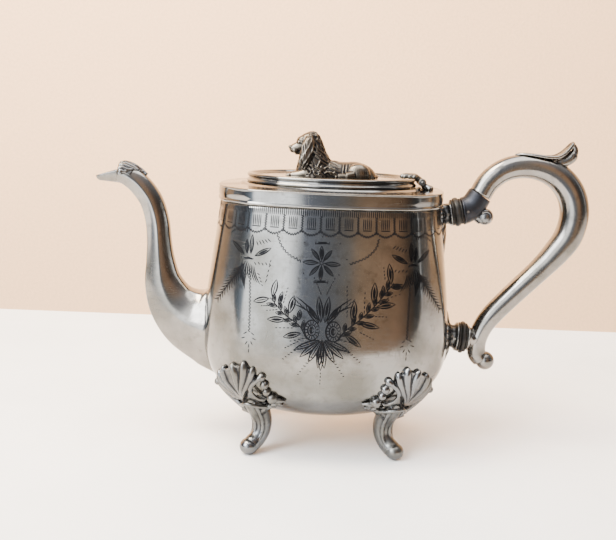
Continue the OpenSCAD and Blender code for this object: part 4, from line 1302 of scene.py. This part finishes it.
def make_spaniel():
    """Reclining spaniel with a waved coat in front and smooth flanks behind."""
    trunk = [[-17.6, 150.6, 5.4, 4.4], [-14, 151.4, 7.2, 6], [-8, 151.2, 7.3, 7.6],
             [0, 150.6, 6.7, 7.3], [6, 150.2, 6.6, 7.2], [12.5, 150, 7.1, 8],
             [18, 149, 6.4, 7.2], [21.6, 148, 4.6, 5.2], [23.6, 147.2, 2.4, 3]]
    parts = [lofted(tube_rings(trunk, 40, round_section(40)))]
    neck = np.array([mane_point(np.linspace(0, 2 * math.pi, 36, endpoint=False), h)
                     for h in np.linspace(148.2, 172, 24)])
    parts.append(lofted(list(neck)))
    parts += head_parts() + coat_locks()
    for side in (-1, 1):
        parts += [
            ball((14, side * 4.9, 150.4), 5.6, (1.25, 0.84, 1.08), 20, 30),
            swept(curve_through([(12, side * 8, 150.4), (7.5, side * 8.6, 149.4),
                                 (3.4, side * 8.4, 149.2)], 12), [2.3] * 6 + [1.7] * 6, 14),
            swept(curve_through([(-12.5, side * 5.2, 150.6), (-17.5, side * 4.7, 149.3),
                                 (-22, side * 4, 148.9)], 14), np.linspace(3, 1.5, 14), 16),
            ball((-23.2, side * 3.9, 148.9), 1.6, (1.15, 1.1, 0.8), 12, 18)]
        for toe in (-1.1, 0, 1.1):
            parts.append(ball((-24.4, side * 3.9 + toe, 148.7), 0.65, (1.3, 0.8, 0.9), 8, 12))
            parts.append(ball((2.2, side * 8.4 + toe * 0.8, 149.1), 0.65, (1.3, 0.8, 0.9), 8, 12))
    for x in (5.6, 7.3, 9):
        rib = [(x + 0.6 * math.cos(a), 7.55 * math.sin(a), 150 + 6.75 * math.cos(a))
               for a in np.linspace(0.55, 1.5, 10)]
        parts += [swept(rib, 0.5, 8), swept([(a, -b, c) for a, b, c in rib], 0.5, 8)]
    parts.append(swept(curve_through([(20.5, 0, 149.6), (24, 1.6, 149), (23.2, 5, 149),
                                      (19.6, 7.4, 149)], 20), np.linspace(2, 0.9, 20), 14))
    dog = sculpted("spaniel", parts, 0.24, MATERIALS["finial"], "lid", relax=3, reach=5,
                   finish=lambda p: np.maximum(p, [-999, -999, PLATE_Z + 0.02]))
    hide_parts("finial_spaniel")


def make_fixings():
    """Stud, washer and six-sided nut that hold the finial from under the lid."""
    top, under = PLATE_Z - 0.3, PLATE_Z - SHEET
    stud = [(0.01, under - 4.3), (1.1, under - 4.3), (1.45, under - 3.9)]
    for turn in range(8):
        z = under - 3.8 + turn * 0.42
        stud += [(1.5, z), (1.25, z + 0.21)]
    stud += [(1.5, top), (0.01, top)]
    pin = new_piece("finial_stud_rod", *lathe(stud, 32), MATERIALS["pins"], "lid")
    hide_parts("finial_stud")
    disc = [(1.6, under - 0.8), (4.2, under - 0.8), (4.5, under - 0.6), (4.5, under - 0.2),
            (4.3, under), (1.6, under)]
    angle = np.linspace(0, 2 * math.pi, 48, endpoint=False)
    rings = [np.stack([r * np.cos(angle), r * np.sin(angle), np.full(48, z)], 1) for r, z in disc]
    washer = new_piece("finial_washer_disc", *lofted(rings, looped=True), MATERIALS["pins"], "lid")
    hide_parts("finial_washer")
    rings = []
    six = math.cos(math.pi / 6) / np.cos((angle + math.pi / 6) % (math.pi / 3) - math.pi / 6)
    for r, z, round_off in ((1.6, 0.9, 1), (3, 0.9, 0.6), (3.25, 1.15, 0), (3.25, 3.05, 0),
                            (3, 3.35, 0.6), (1.6, 3.35, 1)):
        edge = r * mix(six, np.minimum(six, 0.93), round_off) if r > 2 else np.full(48, r)
        rings.append(np.stack([edge * np.cos(angle), edge * np.sin(angle),
                               np.full(48, under - z)], 1))
    nut = new_piece("finial_nut_six", *lofted(rings, looped=True), MATERIALS["pins"], "lid",
                    smooth=False)
    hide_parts("finial_nut")


# ---------------------------------------------------------------- engraving
LIFT = 0.05


def cut_strip(track, width):
    """Closed strip of triangular section along a track on the wall, pointed at both ends."""
    track = np.asarray(track, float)
    outline_angle = wall_angle(track[:, 0], track[:, 1])
    centre = wall_at(-outline_angle, track[:, 1])
    out = body_normal(track[:, 0], track[:, 1])
    along = np.gradient(centre, axis=0)
    across = np.cross(out, along)
    across /= np.linalg.norm(across, axis=1, keepdims=True) + 1e-9
    half = width * 0.68 * np.sin(np.linspace(0.12, math.pi - 0.12, len(track))) ** 0.6
    rings = []
    for c, o, a, h in zip(centre, out, across, half):
        rings.append(np.array([c + o * LIFT - a * h, c - o * 0.15, c + o * LIFT + a * h]))
    return lofted(rings)


def arc_track(start, end, bow=0.0, steps=9):
    """Track from start to end on the wall, bowed sideways by a share of its length."""
    start, end = np.array(start, float), np.array(end, float)
    t = np.linspace(0, 1, steps)[:, None]
    side = np.array([-(end - start)[1], (end - start)[0]])
    return start + (end - start) * t + side * bow * 4 * t * (1 - t)


class Engraver:
    """Collects long cuts as strips and short cuts as marks to be struck."""

    def __init__(self):
        self.strips, self.marks = [], []

    def line(self, start, end, bow=0.0, width=0.5, steps=9):
        self.strips.append(cut_strip(arc_track(start, end, bow, steps), width))

    def curve(self, points, width=0.5, steps=24):
        self.strips.append(cut_strip(curve_through(points, steps), width))

    def mark(self, x, z, degrees, length):
        """Short cut centred on a place; degrees turn it from level towards upright."""
        self.marks.append((x, z, math.radians(degrees), length))

    def wriggle(self, points, spread=1.6):
        """Zigzag of short cuts along a curve."""
        step = bpy.context.scene.teapot_sizes.wriggle_step / MM
        path = curve_through(points, 120)
        length = np.concatenate([[0], np.cumsum(np.linalg.norm(np.diff(path, axis=0), axis=1))])
        for i, here in enumerate(np.arange(step / 2, length[-1], step / 2)):
            x, z = (np.interp(here, length, path[:, k]) for k in (0, 1))
            ahead = [np.interp(here + 0.3, length, path[:, k]) for k in (0, 1)]
            behind = [np.interp(here - 0.3, length, path[:, k]) for k in (0, 1)]
            way = math.degrees(math.atan2(ahead[1] - behind[1], ahead[0] - behind[0]))
            self.mark(x, z, way + (58 if i % 2 else -58), spread)

    def dashes(self, start, end, count, degrees, length):
        for t in np.linspace(0, 1, count):
            x, z = mix(np.array(start, float), np.array(end, float), t)
            self.mark(x, z, degrees, mix(length, length * 0.6, t))

    def leaf(self, start, end, width=2.2, filled=False, cut=0.5):
        """Pointed leaf: two bowed cuts and a vein, with two more cuts if it is filled."""
        start, end = np.array(start, float), np.array(end, float)
        length = np.linalg.norm(end - start)
        bow = width / length / 2
        self.line(start, end, bow, cut, 13)
        self.line(start, end, -bow, cut * 1.2, 13)
        self.line(mix(start, end, 0.05), mix(start, end, 0.8), 0, cut * 0.7)
        if filled:
            for share in (-0.55, 0.55):
                self.line(mix(start, end, 0.2), mix(start, end, 0.8), bow * share, cut * 0.7, 9)


def rosette(cut, x, z, flip):
    """Corner rosette: crown of leaves above and a long feathered palm falling outwards."""
    def at(dx, dz):
        return (x + flip * dx, z + dz)
    for dx in (-0.9, 0, 0.9):
        cut.line(at(dx - 1.6, 0.4 * dx), at(dx + 1.6, 0.3 - 0.4 * dx), 0.12, 0.7)
    cut.leaf(at(2.4, 1.6), at(9, 7.5), 1.7)
    cut.leaf(at(-1, 2), at(-1.6, 12), 1.6)
    cut.leaf(at(1, 2), at(1.2, 9.5), 1.4)
    cut.leaf(at(-3, 1.2), at(-11.4, 5.8), 2.0, filled=True)
    for i in range(9):
        t = i / 8
        cut.mark(*at(mix(9.5, 1.2, t), mix(13.5, 15.2, t) - 6.5 * (t - 0.5) ** 2),
                 flip * mix(130, 95, t), mix(2.6, 2.2, t))
    for i in range(5):
        cut.mark(*at(-4.2 - 1.5 * i, 7.6 + 0.5 * i), 90 - flip * (25 + 6 * i), 2.6)
        cut.mark(*at(-3.4 - 1.9 * i, -2.6 + 0.3 * (i % 2)), 90 - flip * 35, 1.8)
    # The palm: a stem with barbs on both sides.
    stem = curve_through([at(1.5, -2), at(6, -8.5), at(11.5, -16.5), at(17, -25)], 26)
    cut.curve([at(1.5, -2), at(6, -8.5), at(11.5, -16.5), at(17, -25)], 0.45)
    for i, (px, pz) in enumerate(stem[1:24:2]):
        size = mix(7.6, 3.4, i / 11)
        for lean in (24, -26):
            a = math.radians(-56 + lean)
            end = (px + flip * math.cos(a) * size, pz + math.sin(a) * size)
            if abs(end[0]) < 66:
                cut.line((px, pz), end, -0.08 * flip * np.sign(lean), 0.5, 8)
    for i in range(6):
        t = i / 5
        cut.line(at(mix(0.6, -3, t), mix(-2, -4.2, t)), at(mix(1.2, -6.4, t), mix(-9.5, -13, t)),
                 0.08 * flip, 0.48, 7)
        cut.line(at(mix(3, 0.6, t), -2.5 - 5 * t), at(mix(4.4, 1.6, t), -9 - 7 * t),
                 0.08 * flip, 0.45, 7)
    # Upright wriggle line with its tassel.
    cut.wriggle([at(-0.6, -5), at(-1.2, -16), at(-1.4, -28), at(-1.4, -38)])
    for dx, dz, turn in ((-3.2, -38.6, 35), (0.6, -38.4, -30), (-4, -41.2, 20), (1.6, -41, -18),
                         (-2.8, -43.5, 60), (0, -43.6, -58), (-1.4, -45, 90), (-1.4, -47.6, 90)):
        cut.mark(*at(dx, dz), 90 + flip * (turn - 90), 2.4)


def star(cut, x, z):
    """Star flower with a crossbar above and below, from which the festoons hang."""
    for dx, dz, width in ((-9.6, 0.1, 1.9), (9.6, -0.6, 1.9), (-5.4, 7, 1.5), (5, 6.6, 1.5),
                          (-6, -6.6, 1.5), (6.2, -6.4, 1.5)):
        cut.leaf((x + dx * 0.16, z + dz * 0.16), (x + dx, z + dz), width, cut=0.48)
    for dz in (9.6, -9.8):
        cut.leaf((x, z + dz * 0.14), (x - 0.3, z + dz * 0.9), 1.7, filled=True)
        cut.line((x - 3.3, z + dz - 0.2), (x + 3.1, z + dz + 0.2), 0.05, 0.75)
        cut.line((x - 2.4, z + dz + 1), (x + 2.4, z + dz + 1.1), -0.08, 0.5)
        for dx in (-3.4, 3.4):
            cut.mark(x + dx, z + dz + 0.3, 80, 1.8)
    for turn in range(0, 360, 45):
        a = math.radians(turn)
        cut.mark(x + 1.1 * math.cos(a), z + 1.1 * math.sin(a), turn, 1.5)
        cut.mark(x + 12.6 * math.cos(a), z + 2.2 + 11 * math.sin(a), turn, 0.9)


def garland(cut, flip, stem, leaves, sprays):
    """Leafy branch: a stem of short dashes with leaves and dotted sprays."""
    path = curve_through(stem, 80)
    length = np.concatenate([[0], np.cumsum(np.linalg.norm(np.diff(path, axis=0), axis=1))])
    for shift in (-0.32, 0.32):
        for here in np.arange(0.4, length[-1], 1.5):
            x, z = (np.interp(here + shift, length, path[:, k]) for k in (0, 1))
            ahead = [np.interp(here + 0.5, length, path[:, k]) for k in (0, 1)]
            way = math.degrees(math.atan2(ahead[1] - z, ahead[0] - x))
            cut.mark(x + shift * 0.8, z + shift * 0.8 * flip, way, 1.5)
    cut.curve(stem, 0.4, 30)
    for i, here in enumerate(np.arange(2.5, length[-1] - 2, 2.5)):
        x, z = (np.interp(here, length, path[:, k]) for k in (0, 1))
        back_x, back_z = (np.interp(here - 1, length, path[:, k]) for k in (0, 1))
        way = math.atan2(back_z - z, back_x - x) + (0.62 if i % 2 else -0.62)
        reach = 5.2 + 0.9 * math.sin(i * 1.9)
        cut.leaf((x, z), (x + reach * math.cos(way), z + reach * math.sin(way)), 1.7, True, cut=0.42)
    for start, end, width, filled in leaves:
        cut.leaf(start, end, width, filled)
    for start, end, count, degrees, size in sprays:
        cut.dashes(start, end, count, degrees, size)


def bouquet(cut):
    """Two round flowers with a tulip above and a fan of leaves below."""
    for x, z in ((-7.9, 74.4), (3.0, 74.0)):
        for radius, width in ((4.6, 0.62), (2.5, 0.5), (1.2, 0.45)):
            ringed = [(x + radius * 0.82 * math.cos(a), z + radius * 1.12 * math.sin(a))
                      for a in np.linspace(0.2, 2 * math.pi, 26)]
            cut.curve(ringed, width, 40)
        for turn in range(0, 360, 24):
            a = math.radians(turn + 8)
            cut.mark(x + 2.9 * math.cos(a), z + 3.9 * math.sin(a), turn + 8, 1.7)
        for dx in (-0.4, 0.3):
            cut.line((x + dx, z - 2.2), (x + dx, z + 2.2), 0.1, 0.5)
    for flip in (-1, 1):
        x = -2.5
        cut.leaf((x + flip * 1, 78.5), (x + flip * 2.6, 91.8), 2.8, True)
        cut.leaf((x + flip * 2, 78), (x + flip * 9, 87.5), 2.6, True)
        cut.line((x + flip * 1.5, 79), (x + flip * 14, 91), 0.06 * flip, 0.55, 14)
        cut.line((x + flip * 2.5, 79.6), (x + flip * 15.2, 87.2), 0.08 * flip, 0.5, 14)
        for i in range(6):
            cut.mark(x + flip * (6 + 1.8 * i), 82.4 + 1.5 * i, 90 - flip * 38, 2.8)
            cut.mark(x + flip * (1.6 + 0.7 * i), 93.4 + 1.5 * i, 90 - flip * 14, mix(1.9, 1, i / 5))
        for degrees, length, width in ((-84, 15.5, 2.7), (-62, 14.2, 2.6), (-42, 15, 2.5),
                                       (-24, 15.5, 2.4)):
            a = math.radians(degrees)
            cut.leaf((x + flip * math.cos(a) * 1.5, 70.2 + math.sin(a) * 1.5),
                     (x + flip * math.cos(a) * length, 70.2 + math.sin(a) * length), width)
        cut.dashes((x + flip * 5.2, 60.4), (x + flip * 11.6, 50.8), 7, 10 * flip, 1.9)
        cut.dashes((x + flip * 11, 66), (x + flip * 19.5, 58.6), 7, 14 * flip, 2.1)
        cut.dashes((x + flip * 9.5, 70), (x + flip * 16, 68.2), 4, 0, 2.2)
    cut.leaf((-2.6, 70), (-2.8, 53.4), 2.8)
    for i in range(4):
        cut.mark(-2.7, 52 - 1.9 * i, 90, 1.2)


def front_design():
    """All of the main panel's cuts, drawn for the front of the body."""
    cut = Engraver()
    rosette(cut, -41.3, 108.8, -1)
    rosette(cut, 42.4, 107.6, 1)
    star(cut, -4.3, 108.5)
    bouquet(cut)
    cut.wriggle([(-27.2, 122.2), (-25, 116.6), (-21.2, 112.2), (-14.6, 108.7)])
    cut.wriggle([(24.2, 121.8), (22.8, 116.6), (18.6, 112.2), (13.6, 109.8), (9.6, 108.2)])
    garland(cut, -1, [(-29, 89), (-21.9, 81.6), (-14.5, 76.6), (-10.6, 70)],
            [((-28.6, 90), (-26.6, 99), 2.6, False), ((-30, 89.2), (-38.2, 87), 2.5, False),
             ((-19.6, 82.4), (-17.4, 91.6), 2.9, True), ((-21, 78.9), (-30.8, 78.6), 2.7, True),
             ((-13.4, 72.6), (-22.4, 70), 2.6, True), ((-25.2, 86), (-23.4, 93.2), 1.8, True),
             ((-14.8, 79), (-14.2, 84.6), 2, True)],
            [((-30.4, 85.5), (-33.8, 85.2), 4, 10, 1.4), ((-26.2, 83.8), (-31, 83), 4, 12, 1.5),
             ((-22.6, 88), (-20.8, 95), 5, 70, 1.7), ((-18, 75), (-26, 74.6), 5, 8, 1.7),
             ((-32, 98), (-30, 108), 5, 65, 2.2), ((-36, 101), (-34, 95.6), 4, -35, 2),
             ((-15.2, 68), (-21, 64.6), 5, 16, 2)])
    garland(cut, 1, [(32.6, 99), (24.1, 88.3), (16.4, 80.6), (8.6, 74.3), (5.4, 69)],
            [((31.4, 98.4), (29.9, 109), 2.7, True), ((32, 96.6), (38.2, 98), 2.1, True),
             ((22.8, 88.4), (23, 99.4), 2.9, True), ((24.4, 87.2), (34, 88.4), 2.7, True),
             ((12.4, 79.4), (13.2, 90), 2.9, True), ((15.8, 78.8), (26.2, 76.4), 2.6, True),
             ((8.6, 73.2), (17.4, 66.4), 2.6, True), ((27.6, 92.4), (27.3, 98), 1.6, False)],
            [((28, 101.6), (27.2, 106.8), 4, 88, 1.5), ((18.2, 84.4), (18.2, 94), 5, 86, 2),
             ((20.8, 82.4), (29.6, 82), 6, 6, 1.6), ((30, 91.6), (36, 93.4), 4, 18, 1.4),
             ((9.6, 82.4), (9, 97), 8, 74, 1.9), ((17, 73.8), (23.4, 70.6), 5, -22, 1.5)])
    return cut


def border_marks():
    """Comb, windows, separators and scallops round the top of the wall: (angle, z, turn, length)."""
    angle = np.linspace(0, 2 * math.pi, 1441)
    loop = wall_at(angle, 129.0)
    arc = np.concatenate([[0], np.cumsum(np.linalg.norm(np.diff(loop, axis=0), axis=1))])
    around, marks = arc[-1], []

    def add(place, z, turn, length):
        marks.append((float(np.interp(place % around, arc, angle)), z, math.radians(turn), length))

    for place in np.arange(0, around, around / 330):
        add(place, 133.3, 90, 3.9)
    bays = 38
    step = around / bays
    for bay in range(bays):
        middle = (bay + 0.42) * step
        for dx in np.linspace(-1.9, 1.9, 5):
            add(middle + dx, 128.3, 90, 6.4)
        for dx in (-1.4, -0.5, 0.5, 1.4):
            add(middle + dx, 125.2, 0, 2.2)
        for i, z in enumerate(np.arange(124.2, 131.8, 0.62)):
            add(middle + step / 2, z, 26 if i % 2 else -26, 1.7)
        for i, dx in enumerate(np.arange(-step / 2, step / 2 + 0.01, 0.62)):
            sag = 2.1 * math.cos(dx / step * math.pi)
            add(middle + dx, 124.2 - sag, 64 if i % 2 else -64, 1.7)
    return marks


def strike_tree():
    """Node tree that strikes one pointed cut at every marked point."""
    tree = bpy.data.node_groups.new("struck_cuts", "GeometryNodeTree")
    tree.is_modifier = True
    face = tree.interface
    face.new_socket("Geometry", in_out='INPUT', socket_type="NodeSocketGeometry")
    width = face.new_socket("Cut width", in_out='INPUT', socket_type="NodeSocketFloat")
    face.new_socket("Cut depth", in_out='INPUT', socket_type="NodeSocketFloat")
    face.new_socket("Metal", in_out='INPUT', socket_type="NodeSocketMaterial")
    face.new_socket("Geometry", in_out='OUTPUT', socket_type="NodeSocketGeometry")
    width.default_value = 0.0005
    t = Tree(tree)
    given = t.node("NodeGroupInput").outputs
    points = t.node("GeometryNodeMeshToPoints")
    t.link(given["Geometry"], points.inputs["Mesh"])
    spindle = t.node("GeometryNodeMeshUVSphere")
    spindle.inputs["Segments"].default_value = 4
    spindle.inputs["Rings"].default_value = 4
    spindle.inputs["Radius"].default_value = 0.5
    along = t.node("GeometryNodeInputNamedAttribute", data_type='FLOAT_VECTOR')
    along.inputs["Name"].default_value = "along"
    out = t.node("GeometryNodeInputNamedAttribute", data_type='FLOAT_VECTOR')
    out.inputs["Name"].default_value = "out"
    length = t.node("GeometryNodeInputNamedAttribute", data_type='FLOAT')
    length.inputs["Name"].default_value = "length"
    first = t.node("FunctionNodeAlignRotationToVector", axis='Z')
    t.link(along.outputs["Attribute"], first.inputs["Vector"])
    second = t.node("FunctionNodeAlignRotationToVector", axis='X', pivot_axis='Z')
    t.link(first.outputs[0], second.inputs["Rotation"])
    t.link(out.outputs["Attribute"], second.inputs["Vector"])
    size = t.node("ShaderNodeCombineXYZ")
    t.link(given["Cut depth"], size.inputs["X"])
    t.link(given["Cut width"], size.inputs["Y"])
    t.link(length.outputs["Attribute"], size.inputs["Z"])
    strike = t.node("GeometryNodeInstanceOnPoints")
    t.link(points.outputs[0], strike.inputs["Points"])
    t.link(spindle.outputs["Mesh"], strike.inputs["Instance"])
    t.link(second.outputs[0], strike.inputs["Rotation"])
    t.link(size.outputs[0], strike.inputs["Scale"])
    real = t.node("GeometryNodeRealizeInstances")
    t.link(strike.outputs[0], real.inputs[0])
    metal = t.node("GeometryNodeSetMaterial")
    t.link(real.outputs[0], metal.inputs["Geometry"])
    t.link(given["Metal"], metal.inputs["Material"])
    t.link(metal.outputs[0], t.node("NodeGroupOutput").inputs["Geometry"])
    return tree


# Width of a struck cut as a share of an engraved line, and its depth in millimetres.
STRUCK_WIDTH = 0.85
STRUCK_DEPTH = 0.14


def struck(name, places, out, along, length, tree):
    """Piece of cuts struck at places on the wall, all in millimetres from the body's axis."""
    mesh = bpy.data.meshes.new(name + "_marks")
    mesh.from_pydata(((places + [AXIS_X, 0, 0]) * MM).tolist(), [], [])
    for label, values in (("out", out), ("along", along)):
        layer = mesh.attributes.new(label, 'FLOAT_VECTOR', 'POINT')
        layer.data.foreach_set("vector", np.asarray(values, np.float32).ravel())
    layer = mesh.attributes.new("length", 'FLOAT', 'POINT')
    layer.data.foreach_set("value", np.asarray(length * MM, np.float32))
    holder = bpy.data.objects.new(name + "_marks", mesh)
    bpy.context.scene.collection.objects.link(holder)
    modifier = holder.modifiers.new("strike", 'NODES')
    modifier.node_group = tree
    width = bpy.context.scene.teapot_sizes.cut_width * STRUCK_WIDTH
    values = {"Cut width": width, "Cut depth": STRUCK_DEPTH * MM, "Metal": MATERIALS["cut"]}
    for item in tree.interface.items_tree:
        if item.item_type == 'SOCKET' and item.in_out == 'INPUT' and item.name in values:
            modifier[item.identifier] = values[item.name]
    cuts = evaluated_mesh(holder)
    cuts.name = name
    piece = bpy.data.objects.new(name, cuts)
    bpy.context.scene.collection.objects.link(piece)
    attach(piece, "pot")
    return piece


def mark_arrays(marks, side):
    """Places, normals, directions and lengths of marks given by length x and height z."""
    x, z, turn, length = np.array(marks).T
    place = body_point(x, z, side)
    out = body_normal(x, z, side)
    level = body_point(x + 0.2, z, side) - body_point(x - 0.2, z, side)
    level /= np.linalg.norm(level, axis=1, keepdims=True)
    upward = np.cross(out, level) * -side
    along = level * np.cos(turn)[:, None] + upward * np.sin(turn)[:, None]
    return place, out, along, length


def make_engraving():
    """Engraved borders all round and the flower design on both broad sides."""
    design = front_design()
    points, faces = joined(design.strips)
    new_piece("engraving_front", points, faces, MATERIALS["cut"], smooth=False)
    new_piece("engraving_back", points * (1, -1, 1), faces, MATERIALS["cut"], smooth=False)
    tree = strike_tree()
    for name, side in (("struck_front", -1), ("struck_back", 1)):
        struck(name, *mark_arrays(design.marks, side), tree)
    angle, z, turn, length = np.array(border_marks()).T
    place = wall_at(angle, z)
    level = wall_at(angle + 0.003, z) - wall_at(angle - 0.003, z)
    level /= np.linalg.norm(level, axis=1, keepdims=True)
    rise = wall_at(angle, z + 0.2) - wall_at(angle, z - 0.2)
    out = np.cross(level, rise)
    out /= np.linalg.norm(out, axis=1, keepdims=True)
    upward = np.cross(out, level)
    along = level * np.cos(turn)[:, None] + upward * np.sin(turn)[:, None]
    struck("struck_border", place, out, along, length, tree)


def keep_node(node, material):
    """Gives a frame node its material and leaves everything else of it alone."""
    kept = bpy.data.objects[node]
    kept.data.materials.clear()
    kept.data.materials.append(material)


# ---------------------------------------------------------------- add-on
class TeapotSizes(bpy.types.PropertyGroup):
    """Sizes that can be changed without moving any piece."""

    panel_flatness: bpy.props.FloatProperty(
        name="Panel flatness", description="How far the eight panels flatten the oval body",
        default=0.44, min=0, max=0.6, subtype='FACTOR')
    cut_width: bpy.props.FloatProperty(
        name="Cut width", description="Width of an engraved cut at its middle",
        default=0.66 * MM, min=0.2 * MM, max=1 * MM, subtype='DISTANCE', unit='LENGTH')
    wriggle_step: bpy.props.FloatProperty(
        name="Wriggle step", description="Distance between the cuts of a zigzag line",
        default=1.8 * MM, min=0.5 * MM, max=2 * MM, subtype='DISTANCE', unit='LENGTH')


class TeapotColours(bpy.types.PropertyGroup):
    """Colours of the metals, the engraving and the stage."""

    silver: bpy.props.FloatVectorProperty(
        name="Silver", description="Polished plate", default=(0.195, 0.193, 0.187), min=0, max=1,
        subtype='COLOR')
    tarnish: bpy.props.FloatVectorProperty(
        name="Tarnish", description="Plate where the polish has gone", default=(0.105, 0.1, 0.088),
        min=0, max=1, subtype='COLOR')
    deposit: bpy.props.FloatVectorProperty(
        name="Deposit", description="Dark deposit in the hollows of castings",
        default=(0.014, 0.0145, 0.017), min=0, max=1, subtype='COLOR')
    engraved: bpy.props.FloatVectorProperty(
        name="Engraved cuts", description="Bottom of the engraved cuts",
        default=(0.009, 0.0095, 0.011), min=0, max=1, subtype='COLOR')
    floor: bpy.props.FloatVectorProperty(
        name="Floor", description="Table under the teapot", default=(0.95, 0.94, 0.92), min=0,
        max=1, subtype='COLOR')
    wall: bpy.props.FloatVectorProperty(
        name="Backdrop", description="Plain wall behind the teapot", default=(0.93, 0.57, 0.31),
        min=0, max=1, subtype='COLOR')


class TEAPOT_OT_materials(bpy.types.Operator):
    """Makes the metals, the horn and the engraving's material"""
    bl_idname = "teapot.materials"
    bl_label = "Materials"

    def execute(self, context):
        make_materials()
        return {'FINISHED'}


class TEAPOT_OT_body(bpy.types.Operator):
    """Makes the raised body with its inner face"""
    bl_idname = "teapot.body"
    bl_label = "Body"

    def execute(self, context):
        make_body()
        return {'FINISHED'}


class TEAPOT_OT_shoulder(bpy.types.Operator):
    """Makes the rim band and the seat of the lid"""
    bl_idname = "teapot.shoulder"
    bl_label = "Shoulder"

    def execute(self, context):
        make_shoulder()
        return {'FINISHED'}


class TEAPOT_OT_lid(bpy.types.Operator):
    """Makes the lid's rim, plate and flange"""
    bl_idname = "teapot.lid"
    bl_label = "Lid"

    def execute(self, context):
        make_lid()
        return {'FINISHED'}


class TEAPOT_OT_spout(bpy.types.Operator):
    """Makes the ridged spout and its beak"""
    bl_idname = "teapot.spout"
    bl_label = "Spout"

    def execute(self, context):
        make_spout()
        return {'FINISHED'}


class TEAPOT_OT_handle(bpy.types.Operator):
    """Makes the scroll handle and its knob"""
    bl_idname = "teapot.handle"
    bl_label = "Handle"

    def execute(self, context):
        make_handle()
        return {'FINISHED'}


class TEAPOT_OT_mounts(bpy.types.Operator):
    """Makes the sockets, insulators, lead cap, curl and pins that hold the handle"""
    bl_idname = "teapot.mounts"
    bl_label = "Handle mounts"

    def execute(self, context):
        make_mounts()
        return {'FINISHED'}


class TEAPOT_OT_leaves(bpy.types.Operator):
    """Makes the thumb leaf and the leaf on the spout's mouth"""
    bl_idname = "teapot.leaves"
    bl_label = "Leaves"

    def execute(self, context):
        make_thumb_leaf()
        make_spout_leaf()
        return {'FINISHED'}


class TEAPOT_OT_hinge(bpy.types.Operator):
    """Makes the hinge's knuckles, pin and leaves"""
    bl_idname = "teapot.hinge"
    bl_label = "Hinge"

    def execute(self, context):
        make_hinge()
        return {'FINISHED'}


class TEAPOT_OT_feet(bpy.types.Operator):
    """Makes the four cast feet"""
    bl_idname = "teapot.feet"
    bl_label = "Feet"

    def execute(self, context):
        make_feet()
        return {'FINISHED'}


class TEAPOT_OT_finial(bpy.types.Operator):
    """Makes the spaniel and the fixings that hold it on the lid"""
    bl_idname = "teapot.finial"
    bl_label = "Finial"

    def execute(self, context):
        make_spaniel()
        make_fixings()
        return {'FINISHED'}


class TEAPOT_OT_engraving(bpy.types.Operator):
    """Makes the engraved borders and flowers on the body"""
    bl_idname = "teapot.engraving"
    bl_label = "Engraving"

    def execute(self, context):
        make_engraving()
        return {'FINISHED'}


class TEAPOT_OT_stage(bpy.types.Operator):
    """Makes the table, the backdrop, the lights and the camera"""
    bl_idname = "teapot.stage"
    bl_label = "Stage"

    def execute(self, context):
        make_stage()
        return {'FINISHED'}


STEPS = (TEAPOT_OT_materials, TEAPOT_OT_body, TEAPOT_OT_shoulder, TEAPOT_OT_lid,
         TEAPOT_OT_spout, TEAPOT_OT_handle, TEAPOT_OT_mounts, TEAPOT_OT_leaves,
         TEAPOT_OT_hinge, TEAPOT_OT_feet, TEAPOT_OT_finial,
         TEAPOT_OT_engraving, TEAPOT_OT_stage)


class TEAPOT_PT_pieces(bpy.types.Panel):
    """Lists the steps that build the teapot and its stage"""
    bl_idname = "TEAPOT_PT_pieces"
    bl_label = "Silver teapot"
    bl_space_type = 'VIEW_3D'
    bl_region_type = 'UI'
    bl_category = "Teapot"

    def draw(self, context):
        column = self.layout.column(align=True)
        for step in STEPS:
            column.operator(step.bl_idname)
        for group in (context.scene.teapot_sizes, context.scene.teapot_colours):
            for name in group.__annotations__:
                column.prop(group, name)


CLASSES = (TeapotSizes, TeapotColours, *STEPS, TEAPOT_PT_pieces)


def register():
    for kind in CLASSES:
        bpy.utils.register_class(kind)
    bpy.types.Scene.teapot_sizes = bpy.props.PointerProperty(type=TeapotSizes)
    bpy.types.Scene.teapot_colours = bpy.props.PointerProperty(type=TeapotColours)


def unregister():
    del bpy.types.Scene.teapot_colours
    del bpy.types.Scene.teapot_sizes
    for kind in reversed(CLASSES):
        bpy.utils.unregister_class(kind)


def main():
    """Builds every piece in order."""
    register()
    for step in STEPS:
        group, name = step.bl_idname.split(".")
        getattr(getattr(bpy.ops, group), name)()


if __name__ == "__main__":
    main()
